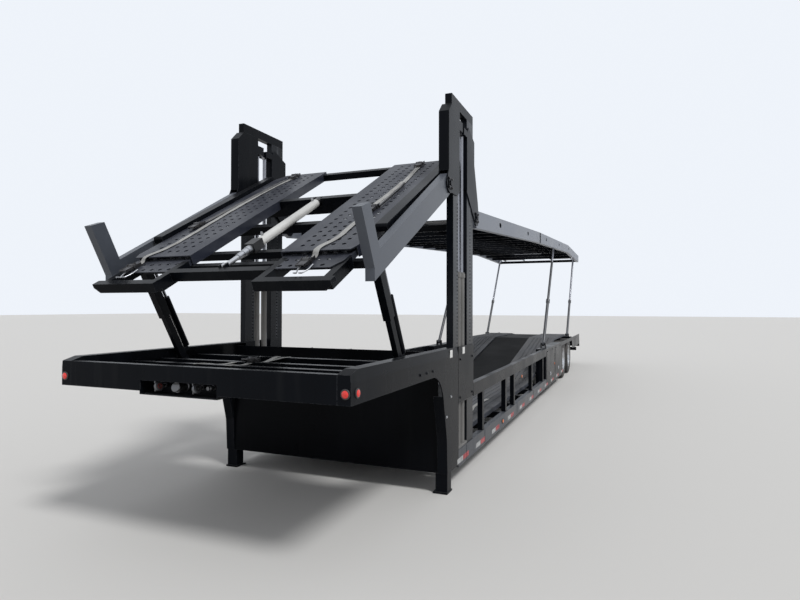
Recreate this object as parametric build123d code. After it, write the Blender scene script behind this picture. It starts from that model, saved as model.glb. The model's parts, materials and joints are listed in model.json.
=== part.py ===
"""High-mount car transporter semi-trailer, parked on its landing legs.

Millimetres. +X points to the front (the coupling end), +Y to the trailer's left, +Z up.
The origin is on the ground, midway along the overall length and width.
A station is a distance behind the front face of the neck.
"""
import os
from math import atan2, degrees, hypot

from build123d import *

os.makedirs("parts", exist_ok=True)

# Overall sizes
length = 16150.0
width = 2590.0
half_width = width / 2
front_x = length / 2

# Clearances
slide_gap = 0.6        # between a carriage and its post
running_gap = 0.08     # radial, a pin in its eye
seat_gap = 0.3         # around a piece let into a plate
side_gap = 5.0         # between pieces that pass each other

# Neck
neck_bottom = 1156.0   # coupler plate's underside
neck_top = 1382.0
header_top = 1351.0
nose_length = 106.0    # the rails slope down to the header over this length
rail_width = 100.0
bevel = 8.0            # the rail's outer upper edge leans in by this much
bevel_drop = 80.0
neck_rail_end = 1040.0
plate = 10.0
coupler_plate_end = 1560.0
kingpin_station = 915.0
kingpin_neck_r = 25.4
kingpin_collar_r = 36.5
kingpin_head_r = 35.7
kingpin_boss_r = 75.0
kingpin_length = 84.0
floor_channels = (300.0, 600.0, 900.0, 1400.0)
floor_channel_width = 70.0
floor_channel_top = 1300.0
header_depth = 62.0
coupling_tray = (-470.0, 250.0)            # across the header
coupling_tray_z = (1130.0, 1240.0)
coupling_tray_depth = 140.0
coupling_tray_wall = 6.0

# Gusset side plates and bulkhead
gusset_end = 2380.0
seam_bow = 45.0                            # the gusset's front seam curves this far along the rail
gusset_bottom = 190.0
bulkhead_station = 2020.0
gusset_rib = 12.0

# Landing legs
landing_leg_station = 2080.0
landing_leg_size = 120.0
landing_foot = 16.0

# Lift posts
post_out = half_width - 10.0 - slide_gap   # the posts' outer face, inside the carriages' side plates
post_width = 70.0
post_in = post_out - post_width
front_post = (2223.0, 2389.0)              # stations of its front and rear faces
rear_post = (2720.0, 2960.0)
front_post_base = 420.0                    # inside the gusset
post_top = 3800.0
top_bar_height = 100.0

# Lift cylinders between the posts
lift_y = post_out - post_width / 2
front_lift_station = 2478.0
rear_lift_station = 2622.0
lift_barrel_r = 34.5
lift_rod_r = 22.0
lift_barrel_top = 2150.0
lift_rod_foot = 1800.0                    # stays inside the barrel when the carriage is down
lift_eye_height = 3600.0
lift_eye_r = 38.0
lift_eye_width = 40.0
cheek_in = lift_eye_width / 2              # from the cylinder's axis to the carriage's cheek

# Carriages
carriage_plate = 10.0
carriage_inner_plate = 8.0
carriage_in = post_in - slide_gap - 24.0   # inner face of the inner block
front_pin = (2085.0, 2985.0)               # station and height of the head rack's hinge
rear_pin = (3090.0, 2795.0)                # station and height of the rear deck's hinge
pin_r = 25.0

# Head rack, drawn level about its hinge and then sloped
head_slope = 27.9
track_in = 440.0
track_out = half_width - 225.0
head_track = (-752.0, 1780.0)              # from behind the hinge to the front edge
head_track_top = 60.0
track_depth = 90.0
sheet = 8.0
arm_out = post_out - side_gap
arm_in = post_in - 9.4                     # clear of the carriages' inner plates
arm_length = 1980.0
arm_bottom = -110.0
arm_boss_r = 98.0
stub = (1800.0, 1940.0)
stub_top = (402.0, 420.0)
rack_under = head_track_top - track_depth  # the tracks' lower edges, where the beams pass
beam_bottom = -110.0
front_beams_bottom = -90.0
rear_beam = (-740.0, -660.0)
middle_beams = ((270.0, 350.0), (810.0, 890.0))
short_beam = (1490.0, 1550.0)
front_beam = (1745.0, 1800.0)
side_tube = (track_out + 10.0, arm_in - 25.0)
side_tube_run = (-600.0, 1390.0)
side_tube_heights = (30.0, 100.0)
head_cylinder = (300.0, 1430.0)            # the white barrel's ends
cylinder_block_end = 1570.0
head_cylinder_gland = ((1620.0, 34.0), (1680.0, 30.0), (1749.0, 26.0))   # ends and radii of its steps
head_cylinder_r = 40.0
head_rod_r = 20.0
head_axis = 14.0                           # height of the cylinder's axis
rear_eye = 325.0
rod_eye = 1926.0
rod_eye_r = 26.0
rod_eye_half = 14.0
cylinder_pin_r = 12.0

# Head rack extension, shown drawn in
lip_run = (1200.0, 2010.0)                 # the hidden tongue's rear end to the lip's front edge
lip_shoulder = front_beam[1] + side_gap    # where the tongue ends and the side bars start
lip_top = 20.0
lip_depth = 45.0
lip_in = track_in + 15.0
lip_out = track_out - 20.0
lip_bar = 60.0
lip_bar_bottom = -80.0
lip_cross = (1966.0, 2040.0)
lip_front = (2165.0, 2235.0)
lip_front_heights = (-55.0, 23.0)
lip_front_out = lip_out + 40.0

# Front legs of the head rack
leg_y = arm_in - 55.0
leg_foot = (1180.0, 1270.0)                # station and height of the foot pin
leg_eye = (665.0, 2165.0)
leg_outer = (90.0, 66.0)
leg_inner = (68.0, 46.0)
leg_collar = 545.0                         # from the eye down to the outer tube's lower end
leg_inner_top = 275.0                      # from the eye down to the inner tube's upper end
leg_pin_r = 20.0
leg_cylinder_r = 30.0
leg_rod_r = 14.0
leg_cylinder_offset = 95.0                 # behind the leg's axis
leg_eye_local = (1638.0, -60.0)            # the same eye on the level head rack

# Lower frame
low_rail = (165.0, 335.0)
high_rail = (800.0, 945.0)
high_rail_web = 70.0
rail_flange = 70.0
stanchion_shares = (0.078, 0.309, 0.415, 0.699, 0.929)   # of the way from the rear post to the side box
stanchion_size = 80.0
floor_beam_spacing = 800.0
floor_z = 350.0
deck_z = 1020.0
tail_z = 800.0
low_track_depth = 60.0
cross_depth = 60.0

# Wheels and axles
axle_stations = (length - 4280.0, length - 3035.0)
wheel_z = 468.0
tyre_r = wheel_z
tyre_width = 250.0
rim_r = 285.75
rim_disc = 14.0
hand_holes = 10
hand_hole_r = 24.0
hand_hole_at = 170.0
twin_spacing = 290.0
tyre_out = half_width - 18.0
spindle_r = 60.0
axle_r = 63.5
wheel_y = tyre_out - tyre_width / 2 - twin_spacing / 2   # middle of a pair
chassis_out = wheel_y - 367.0
chassis_in = chassis_out - 120.0

# Places that follow the axles and the rear end
ramp_end = axle_stations[0] - 170.0
ramp_start = ramp_end - 3700.0
tail_drop_start = length - 2300.0
box_end = axle_stations[0] - 630.0
side_end = box_end - 2640.0

# Side boxes
box_bottom = 150.0
box_top = 940.0
box_in = half_width - 205.0

# Rear upper deck, its top edge as stations and heights
deck_edge = ((3140.0, 2886.0), (length - 8390.0, 3210.0), (length - 3150.0, 3490.0), (length - 90.0, 3455.0))
deck_rail_depth = 200.0
deck_rail_in = arm_in
deck_rail_out = arm_out
deck_slot = (120.0, 62.0)                  # oval openings in the rails' outer walls
deck_slot_first = 4410.0
deck_slot_spacing = 2176.0
deck_slot_drop = 88.0
deck_track_drop = 70.0
deck_track_depth = 50.0
deck_beam_first = 3400.0
deck_beam_spacing = 800.0
deck_beam_width = 60.0
deck_beam_depth = 75.0

# Struts of the rear upper deck: foot and eye as stations and heights
strut_y = arm_in - 45.0
strut_1 = ((length - 7000.0, 1010.0), (length - 5309.0, 3230.0))
strut_2 = ((length - 2390.0, 1010.0), (length - 604.0, 3330.0))
strut_barrel_r = 32.0
strut_mid_r = 27.0
strut_rod_r = 21.0
strut_pin_r = 20.0
strut_rod_bare = 475.0                     # rod that shows between the first strut's sleeve and its eye
strut_knuckle = 0.42                       # share of the length at which the lower tube ends
strut_sweep = 640.0                        # length of deck in front of the first strut's eye that the strut passes

nodes = {}


def x_at(station):
    """X of a place that lies this far behind the front face."""
    return front_x - station


def outline(points):
    """Closed face through (x, z) points."""
    return make_face(Polyline(*points, close=True))


def slab(face, y_low, y_high):
    """Solid with this face, drawn as (x, z), from y_low to y_high."""
    return extrude(Plane.XZ.offset(-y_high) * face, amount=y_high - y_low)


def bar(face, x_low, x_high):
    """Solid with this face, drawn as (y, z), from x_low to x_high."""
    return extrude(Plane.YZ.offset(x_low) * face, amount=x_high - x_low)


def rect(x_low, x_high, z_low, z_high):
    return Pos((x_low + x_high) / 2, (z_low + z_high) / 2) * Rectangle(x_high - x_low, z_high - z_low)


def rod_y(radius, x, z, y_low, y_high):
    """Round bar along Y."""
    return slab(Pos(x, z) * Circle(radius), y_low, y_high)


def both_sides(*solids):
    """The solids of the left side and their mirror images on the right."""
    return [*solids, *(mirror(solid, about=Plane.XZ) for solid in solids)]


def node(name, solids):
    nodes[name] = [piece for solid in solids for piece in solid.solids()]


def between(start, end, y):
    """Frame at start whose X axis points to end, both given as (station, height)."""
    dx = x_at(end[0]) - x_at(start[0])
    dz = end[1] - start[1]
    return Location((x_at(start[0]), y, start[1]), (0, -degrees(atan2(dz, dx)), 0)), hypot(dx, dz)


def tube_along(radius, start, end, bore=0.0):
    """Round tube along local X."""
    face = Circle(radius) - Circle(bore) if bore else Circle(radius)
    return extrude(Plane.YZ.offset(start) * face, amount=end - start)


# Neck

def seam():
    """Curved seam between a neck rail and its gusset, from the top down."""
    return ThreePointArc((x_at(neck_rail_end), neck_top),
                         (x_at(neck_rail_end - seam_bow), (neck_top + neck_bottom) / 2),
                         (x_at(neck_rail_end + seam_bow), neck_bottom))


def bevel_wedge(rear, front):
    """What the bevel takes off the outer upper edge between two stations."""
    return bar(outline([(half_width - bevel, neck_top), (half_width, neck_top - bevel_drop),
                        (half_width + bevel, neck_top)]), x_at(rear), x_at(front))


def make_neck():
    side = (Polyline((x_at(neck_rail_end + seam_bow), neck_bottom), (front_x, neck_bottom), (front_x, header_top),
                     (x_at(nose_length), neck_top), (x_at(neck_rail_end), neck_top)) + seam())
    rail = slab(make_face(side), half_width - rail_width, half_width)
    node("neck_rails", both_sides(rail - bevel_wedge(neck_rail_end + seam_bow, 0)))

    inner = half_width - rail_width
    back = front_x - header_depth
    header = slab(outline([(front_x, neck_bottom), (front_x, header_top), (back, header_top),
                           (back, header_top - plate), (front_x - plate, header_top - plate),
                           (front_x - plate, neck_bottom + plate), (back, neck_bottom + plate),
                           (back, neck_bottom)]), -inner, inner)
    (y0, y1), (z0, z1), wall = coupling_tray, coupling_tray_z, coupling_tray_wall
    tray_back = front_x - coupling_tray_depth
    tray = slab(rect(tray_back, front_x, z0, z1), y0, y1)
    hollow = slab(rect(tray_back + wall, front_x + 1, z0 + wall, z1 - wall), y0 + wall, y1 - wall)
    node("header", [header + tray - hollow])

    floor = slab(rect(x_at(coupler_plate_end), back, neck_bottom, neck_bottom + plate), -inner, inner)
    floor = floor - slab(rect(tray_back, back, neck_bottom, neck_bottom + plate), y0, y1)
    for station in floor_channels:
        rear, low = x_at(station + floor_channel_width), neck_bottom + plate
        web = x_at(station + plate)
        channel = slab(outline([(x_at(station), low), (rear, low), (rear, low + plate), (web, low + plate),
                                (web, floor_channel_top - plate), (rear, floor_channel_top - plate),
                                (rear, floor_channel_top), (x_at(station), floor_channel_top)]), -inner, inner)
        floor = floor + channel
    pin_place = Pos(x_at(kingpin_station), 0, neck_bottom)
    hole = pin_place * extrude(Circle(kingpin_boss_r + seat_gap), plate)
    node("neck_floor", [floor - hole])

    profile = [(0, plate), (kingpin_boss_r, plate), (kingpin_boss_r, 0), (kingpin_collar_r, 0),
               (kingpin_collar_r, -24), (kingpin_neck_r, -24), (kingpin_neck_r, -60), (kingpin_head_r, -60),
               (kingpin_head_r, 4 - kingpin_length), (kingpin_head_r - 6, -kingpin_length), (0, -kingpin_length)]
    node("kingpin", [pin_place * revolve(Plane.XZ * outline(profile), Axis.Z)])


def make_gussets():
    x = x_at
    edge = (Polyline((x(neck_rail_end), neck_top), (x(gusset_end), neck_top),
                     (x(gusset_end), gusset_bottom), (x(2010), gusset_bottom), (x(1990), 530), (x(1893), 900))
            + ThreePointArc((x(1893), 900), (x(1800), 1070), (x(1600), neck_bottom))
            + Line((x(1600), neck_bottom), (x(neck_rail_end + seam_bow), neck_bottom)) + seam())
    solid = slab(make_face(edge), half_width - rail_width, half_width)
    wedge = bevel_wedge(gusset_end, neck_rail_end - seam_bow)
    pocket_front = x(neck_rail_end + 2 * seam_bow)
    pocket = slab(outline([(pocket_front, neck_bottom + gusset_rib), (pocket_front, neck_top - gusset_rib),
                           (x(front_post[0] - gusset_rib), neck_top - gusset_rib),
                           (x(front_post[0] - gusset_rib), gusset_bottom + gusset_rib),
                           (x(2035), gusset_bottom + gusset_rib), (x(2010), 540), (x(1915), 915),
                           (x(1620), neck_bottom + 30)]),
                  half_width - rail_width, half_width - gusset_rib)
    well = slab(rect(x(front_post[1]), x(front_post[0]), front_post_base, neck_top), post_in, post_out)
    node("gussets", both_sides(solid - wedge - pocket - well))

    inner = half_width - rail_width
    sheet_face = rect(x(bulkhead_station + plate), x(bulkhead_station), gusset_bottom, neck_top - 30)
    ribs = [slab(rect(x(bulkhead_station + 60), x(bulkhead_station + plate), gusset_bottom, neck_top - 30),
                 y - 5, y + 5) for y in (-700, -233, 233, 700)]
    panel = slab(sheet_face, -inner, inner)
    for rib in ribs:
        panel = panel + rib
    node("bulkhead", [panel])

    x0 = x(landing_leg_station + landing_leg_size / 2)
    x1 = x(landing_leg_station - landing_leg_size / 2)
    y1 = half_width - 5
    y0 = y1 - landing_leg_size
    leg = slab(rect(x0, x1, landing_foot, gusset_bottom), y0, y1)
    foot = slab(rect(x0 - 20, x1 + 20, 0, landing_foot), y0 - 20, y1 + 5)
    node("landing_legs", both_sides(leg + foot))


# Lift posts

def make_posts():
    x = x_at
    posts = [slab(rect(x(rear), x(front), base, post_top), post_in, post_out)
             for front, rear, base in ((*front_post, front_post_base), (*rear_post, low_rail[1]))]
    node("lift_posts", both_sides(*posts))
    top = slab(rect(x(rear_post[1]), x(front_post[0] - 50), post_top, post_top + top_bar_height),
               post_in, post_out)
    node("top_bars", both_sides(top))

    cover = slab(outline([(x(gusset_end), neck_top), (x(gusset_end), 830), (x(gusset_end + 20), 810),
                          (x(2900), 810), (x(2956), 866), (x(2956), neck_top)]), post_out, half_width)
    node("post_covers", both_sides(cover))

    shelf_top = low_rail[1] + 30
    barrels = slab(rect(x(rear_post[0]), x(gusset_end), low_rail[1], shelf_top), post_in, post_out)
    for station in (front_lift_station, rear_lift_station):
        tube = extrude(Plane.XY.offset(shelf_top) * Circle(lift_barrel_r), lift_barrel_top - shelf_top)
        bore = extrude(Plane.XY.offset(480) * Circle(lift_rod_r + running_gap), lift_barrel_top)
        barrels = barrels + Pos(x(station), lift_y, 0) * (tube - bore)
    node("lift_barrels", both_sides(barrels))


def lift_rod(station):
    """Chrome rod with a round eye at its top."""
    rod = Pos(x_at(station), lift_y, 0) * extrude(Plane.XY.offset(lift_rod_foot) * Circle(lift_rod_r),
                                                  lift_eye_height - lift_rod_foot)
    eye = rod_y(lift_eye_r, x_at(station), lift_eye_height + 20, lift_y - lift_eye_width / 2,
                lift_y + lift_eye_width / 2)
    return rod + eye


# Carriages

def carriage_block(front, rear, z_low, z_high):
    """Inner block that slides on the post's inner face."""
    return slab(rect(x_at(rear), x_at(front), z_low, z_high), carriage_in, post_in - slide_gap)


def make_front_carriage():
    x = x_at
    pin_x, pin_z = x(front_pin[0]), front_pin[1]
    lobe = 95.0
    front = 2050.0
    rear = front_post[1] + slide_gap + 24
    edge = [(x(front), 3690), (x(2150), 3790), (x(rear), 3790), (x(rear), 2960), (x(2330), 2905),
            (x(2150), pin_z - lobe + 15), (pin_x, pin_z - lobe), (pin_x + 70, pin_z - 60), (pin_x + lobe, pin_z),
            (x(front), 3120)]
    outer = slab(outline(edge), half_width - carriage_plate, half_width)
    inner = slab(outline(edge), carriage_in, carriage_in + carriage_inner_plate)
    block = carriage_block(front_post[0], rear, 3000, 3780)
    nose = slab(outline([(x(front), 3110), (x(front), 3690), (x(2150), 3790),
                         (x(front_post[0] - slide_gap), 3790), (x(front_post[0] - slide_gap), 3110)]),
                carriage_in, half_width)
    strap = slab(rect(x(rear), x(front_post[1] + slide_gap), 3000, 3780), carriage_in, half_width)
    cheek = rect(x(front_lift_station + 45), x(rear), lift_eye_height + 2, lift_eye_height + 100)
    carriage = outer + inner + block + nose + strap
    carriage = carriage + slab(cheek, lift_y + cheek_in, half_width) + slab(cheek, carriage_in, lift_y - cheek_in)
    bore = rod_y(pin_r + running_gap, pin_x, pin_z, carriage_in - 1, half_width + 1)
    node("front_carriages", both_sides(carriage - bore))
    node("front_lift_rods", both_sides(lift_rod(front_lift_station)))


def make_rear_carriage():
    x = x_at
    pin_x, pin_z = x(rear_pin[0]), rear_pin[1]
    front = rear_post[0] - slide_gap - 24
    rear = rear_post[1] + slide_gap + 30
    edge = [(x(front), 3650), (x(front + 60), 3720), (x(rear), 3620), (x(rear), 3370), (x(3150), 2960),
            (pin_x - 95, pin_z + 20), (pin_x - 90, pin_z - 40), (pin_x - 50, pin_z - 85), (pin_x + 20, pin_z - 95),
            (x(rear_post[0] + 40), 2960), (x(front), 3010)]
    outer = slab(outline(edge), half_width - carriage_plate, half_width)
    inner = slab(outline(edge), carriage_in, carriage_in + carriage_inner_plate)
    block = carriage_block(front, rear_post[1], 3040, 3600)
    nose = slab(rect(x(rear_post[0] - slide_gap), x(front), 3040, 3640), carriage_in, half_width)
    strap = slab(rect(x(rear), x(rear_post[1] + slide_gap), 3080, 3600), carriage_in, half_width)
    cheek = rect(x(front), x(rear_lift_station - 45), lift_eye_height + 2, lift_eye_height + 70)
    carriage = outer + inner + block + nose + strap
    carriage = carriage + slab(cheek, lift_y + cheek_in, half_width) + slab(cheek, carriage_in, lift_y - cheek_in)
    bore = rod_y(pin_r + running_gap, pin_x, pin_z, carriage_in - 1, half_width + 1)
    node("rear_carriages", both_sides(carriage - bore))
    node("rear_lift_rods", both_sides(lift_rod(rear_lift_station)))


def make_pins():
    for name, (station, height) in (("head_pins", front_pin), ("deck_pins", rear_pin)):
        node(name, both_sides(rod_y(pin_r, x_at(station), height, carriage_in + 1, half_width - 1)))


# Head rack

def head(solids):
    """Put solids that are drawn level about the hinge at the rack's slope."""
    place = Location((x_at(front_pin[0]), 0, front_pin[1]), (0, head_slope, 0))
    return [place * solid for solid in solids]


def channel_track(x_low, x_high, top, y_low, y_high, depth):
    """Inverted channel: a top sheet with a flange down each edge."""
    whole = slab(rect(x_low, x_high, top - depth, top), y_low, y_high)
    hollow = slab(rect(x_low - 1, x_high + 1, top - depth - 1, top - sheet), y_low + sheet, y_high - sheet)
    return whole - hollow


def top_view(points, z_low, z_high):
    """Solid with this outline, given as (x, y), from z_low to z_high."""
    return extrude(Plane.XY.offset(z_low) * outline(points), z_high - z_low)


def make_head_rack():
    rear, front = head_track
    track = channel_track(rear, front, head_track_top, track_in, track_out, track_depth)
    for end, run, cut in ((rear - 1, 160, 80), (front + 1, -80, 30)):
        track = track - top_view([(end, track_out + 1), (end, track_out - cut), (end + run, track_out + 1)],
                                 rack_under - 1, head_track_top + 1)
    node("head_tracks", head(both_sides(track)))

    arm_face = (outline([(0, -arm_boss_r), (74, arm_bottom + 4), (arm_length, arm_bottom), (stub[1], -30),
                         (stub[1], stub_top[1]), (stub[0], stub_top[0]), (stub[0], 58), (184, 95),
                         (0, arm_boss_r)])
                + Circle(arm_boss_r))
    arm = slab(arm_face, arm_in, arm_out) - rod_y(pin_r + running_gap, 0, 0, arm_in - 1, arm_out + 1)
    boss = rod_y(32, *leg_eye_local, leg_y + leg_outer[1] / 2 + side_gap, arm_in)
    node("head_arms", head(both_sides(arm + boss)))
    make_head_beams()
    make_side_tubes()
    make_head_cylinder()


def make_head_beams():
    """Beams under the tracks; the one behind the cylinder rises between them and holds its pin in a notch."""
    beams = [bar(rect(-track_in, track_in, rack_under, 42), *rear_beam),
             bar(rect(-track_out, track_out, front_beams_bottom, rack_under), *short_beam),
             bar(rect(-arm_in, arm_in, front_beams_bottom, rack_under), *front_beam)]
    plain = [bar(rect(-arm_in, arm_in, beam_bottom, rack_under), *place) for place in middle_beams]
    place = middle_beams[0]
    raised = bar(rect(-track_in, track_in, rack_under, 50), *place)
    notch = bar(rect(-head_cylinder_r - side_gap, head_cylinder_r + side_gap, rack_under, 51),
                head_cylinder[0] - side_gap, place[1] + 1)
    pin = rod_y(cylinder_pin_r, rear_eye, head_axis, -head_cylinder_r - 20, head_cylinder_r + 20)
    node("head_beams", head([*beams, plain[0] + (raised - notch) + pin, plain[1]]))


def make_side_tubes():
    """Tubes between tracks and arms, round at the front end, on feet that stand on the two middle beams."""
    low, high = side_tube_heights
    tube = slab(rect(*side_tube_run, low, high), *side_tube)
    front_edges = tube.edges().filter_by(Axis.Y).group_by(Axis.X)[-1]
    tube = fillet(front_edges, 25)
    for rear, front in middle_beams:
        tube = tube + slab(rect(rear + 10, front - 10, rack_under, low), side_tube[0] + 20, side_tube[1] - 20)
    node("side_tubes", head(both_sides(tube)))


def make_head_cylinder():
    start, end = head_cylinder
    barrel = tube_along(head_cylinder_r, start, end)
    block = bar(Rectangle(2 * head_cylinder_r + 10, 2 * head_cylinder_r + 4), end, cylinder_block_end)
    step_start = cylinder_block_end
    gland = []
    for step_end, radius in head_cylinder_gland:
        gland.append(tube_along(radius, step_start, step_end))
        step_start = step_end
    whole = barrel + block + gland
    whole = whole - tube_along(head_rod_r + running_gap, rear_eye + 35, step_start + 1)
    whole = whole - rod_y(cylinder_pin_r + running_gap, rear_eye, 0, -head_cylinder_r - 1, head_cylinder_r + 1)
    place = Pos(0, 0, head_axis)
    node("head_cylinder", head([place * whole]))

    rod = tube_along(head_rod_r, rod_eye - 960, rod_eye - rod_eye_r + 2)
    eye = rod_y(rod_eye_r, rod_eye, 0, -rod_eye_half, rod_eye_half)
    hole = rod_y(cylinder_pin_r + running_gap, rod_eye, 0, -rod_eye_half - 1, rod_eye_half + 1)
    node("head_cylinder_rod", head([place * (rod + eye - hole)]))


def make_extension():
    """Lips with the tongues that slide in the tracks, and the bars that frame them."""
    tongue = channel_track(lip_run[0], lip_shoulder, lip_top, lip_in, lip_out, lip_depth)
    plate_in, plate_out = lip_in + lip_bar, lip_out - 20
    lip = top_view([(lip_shoulder, plate_in), (lip_run[1], plate_in), (lip_run[1], plate_out - 55),
                    (lip_run[1] - 118, plate_out), (lip_shoulder, plate_out)], lip_top - sheet, lip_top)
    node("extension_lips", head(both_sides(tongue + lip)))

    inner_bar = slab(rect(lip_shoulder, lip_front[0], lip_bar_bottom, lip_top), lip_in, plate_in)
    outer_bar = slab(rect(lip_shoulder, lip_front[0], lip_bar_bottom, lip_top - sheet),
                     lip_out - lip_bar, lip_out)
    low, high = lip_front_heights
    front = bar(outline([(lip_in, low), (lip_front_out - 50, low), (lip_front_out, low + 45),
                         (lip_front_out, high), (lip_in, high)]), *lip_front)
    sides = both_sides(inner_bar + outer_bar + front)
    cross = bar(rect(-lip_in, lip_in, low, high), *lip_cross)
    fork = slab(rect(rod_eye - 20, lip_cross[0], head_axis - 24, head_axis + 24),
                rod_eye_half + 3, rod_eye_half + 15)
    pin = rod_y(cylinder_pin_r, rod_eye, head_axis, -rod_eye_half - 15, rod_eye_half + 15)
    whole = cross + pin
    for piece in [*sides, *both_sides(fork)]:
        whole = whole + piece
    node("extension_frame", head([whole]))


# Front legs

def make_legs():
    place, reach = between(leg_foot, leg_eye, leg_y)
    deep, wide = leg_outer
    bore = (leg_inner[0] + 2, leg_inner[1] + 2)
    outer_start = reach - leg_collar
    outer = bar(Rectangle(wide, deep), outer_start, reach + 30) - bar(Rectangle(bore[1], bore[0]),
                                                                       outer_start - 1, reach - 60)
    ear = bar(Pos(0, deep / 2 + 40) * Rectangle(40, 80), reach - 60, reach + 10)
    node("leg_outers", both_sides(place * (outer + ear)))
    inner = bar(Rectangle(leg_inner[1], leg_inner[0]), 0, reach - leg_inner_top)
    foot = rod_y(45, 0, 0, -leg_inner[1] / 2, leg_inner[1] / 2)
    hole = rod_y(leg_pin_r + running_gap, 0, 0, -leg_inner[1], leg_inner[1])
    shoe = bar(Pos(0, leg_cylinder_offset / 2) * Rectangle(40, leg_cylinder_offset), 60, 100)
    node("leg_inners", both_sides(place * (inner + foot + shoe - hole)))

    barrel = tube_along(leg_cylinder_r, 100, 640) - tube_along(leg_rod_r + running_gap, 120, 641)
    node("leg_barrels", both_sides(place * Pos(0, 0, leg_cylinder_offset) * barrel))
    rod = tube_along(leg_rod_r, 470, reach - 60)
    node("leg_rods", both_sides(place * Pos(0, 0, leg_cylinder_offset) * rod))


# Lower frame

def low_z(station):
    """Height of the low tracks' upper face."""
    table = ((0.0, floor_z), (ramp_start, floor_z), (ramp_end, deck_z), (tail_drop_start, deck_z), (length, tail_z))
    return along(table, station)


def spaced(first, last, spacing):
    return [first + spacing * i for i in range(int((last - first) / spacing) + 1)]


def along(table, station):
    """Height at a station on a line through (station, height) points."""
    for (s0, z0), (s1, z1) in zip(table, table[1:]):
        if station <= s1 or (s1, z1) == table[-1]:
            return z0 + (z1 - z0) * (station - s0) / (s1 - s0)


def make_low_frame():
    x = x_at
    low = bar(outline([(half_width - rail_flange, low_rail[0]), (half_width, low_rail[0]),
                       (half_width, low_rail[1]), (half_width - rail_flange, low_rail[1]),
                       (half_width - rail_flange, low_rail[1] - plate), (half_width - plate, low_rail[1] - plate),
                       (half_width - plate, low_rail[0] + plate), (half_width - rail_flange, low_rail[0] + plate)]),
              x(side_end), x(gusset_end))
    high = bar(outline([(half_width - high_rail_web, high_rail[0]), (half_width, high_rail[0]),
                        (half_width, high_rail[1]), (half_width - high_rail_web, high_rail[1])]),
               x(side_end), x(rear_post[1]))
    node("low_rails", both_sides(low))
    node("high_rails", both_sides(high))

    stanchions = []
    for share in stanchion_shares:
        station = rear_post[1] + share * (side_end - rear_post[1])
        stanchions.append(slab(rect(x(station + stanchion_size), x(station), low_rail[1], high_rail[0]),
                               half_width - rail_flange, half_width - plate))
    node("side_stanchions", both_sides(*stanchions))

    beams = []
    for station in spaced(2500.0, ramp_start + 120, floor_beam_spacing):
        beams.append(slab(rect(x(station + 70), x(station), 200, floor_z - low_track_depth), -(half_width - plate),
                          half_width - plate))
    # columns: station, half length
    raised = ((side_end + 400, box_in), (side_end + 1600, box_in), (box_end - 80, box_in),
              (axle_stations[0] + 580, track_out), (axle_stations[1] + 615, half_width - plate),
              (length - 1350, track_out), (length - 250, track_out))
    for station, reach in raised:
        top = min(low_z(station), low_z(station + 60)) - low_track_depth
        beams.append(slab(rect(x(station + 60), x(station), top - cross_depth, top), -reach, reach))
    node("floor_crossmembers", beams)

    line = [(s, low_z(s)) for s in (bulkhead_station + 60, ramp_start, ramp_end, tail_drop_start, length - 40)]
    face = outline([(x(s), z) for s, z in line] + [(x(s), z - low_track_depth) for s, z in reversed(line)])
    under = [(x(s), z - 2 * low_track_depth) for s, z in reversed(line)]
    hollow = outline([(x(s), z - sheet) for s, z in line] + under)
    track = slab(face, track_in, track_out) - slab(hollow, track_in + sheet, track_out - sheet)
    node("low_tracks", both_sides(track))

    panel = outline([(x(s), z - 25) for s, z in line] + [(x(s), z - 35) for s, z in reversed(line)])
    node("centre_panel", [slab(panel, -track_in, track_in)])

    box = slab(rect(x(box_end), x(side_end), box_bottom, box_top), box_in, half_width)
    box = box - slab(rect(x(box_end) + plate, x(side_end) - plate, box_bottom - 1, box_top - plate),
                     box_in + plate, half_width - plate)
    node("side_boxes", both_sides(box))


def make_rear_frame():
    x = x_at
    top = [(x(s), low_z(s) - low_track_depth - cross_depth) for s in (9000, ramp_end, tail_drop_start, length - 60)]
    chassis = slab(outline(top + [(x(length - 60), 520), (x(tail_drop_start), 640), (x(11400), 640), (x(9800), 190),
                                  (x(9000), 190)]), chassis_in, chassis_out)
    for beam in nodes["floor_crossmembers"]:
        chassis = chassis - beam
    node("chassis_beams", both_sides(chassis))

    strip = slab(outline([(x(box_end), 850), (x(box_end), box_top), (x(length - 60), box_top), (x(length - 60), 620),
                          (x(tail_drop_start + 100), 620), (x(tail_drop_start - 100), 850)]),
                 half_width - plate, half_width)
    node("fender_strips", both_sides(strip))

    tail = bar(Pos(0, 640) * Rectangle(width, 190), -front_x, -front_x + 60)
    node("tail_beam", [tail])
    guard = bar(Pos(0, 460) * Rectangle(width - 190, 100), -front_x, -front_x + 80)
    hangers = [slab(rect(-front_x, -front_x + 60, 510, 545), y - 40, y + 40) for y in (-700, 700)]
    node("rear_guard", [guard + hangers[0] + hangers[1]])


# Wheels

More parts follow.
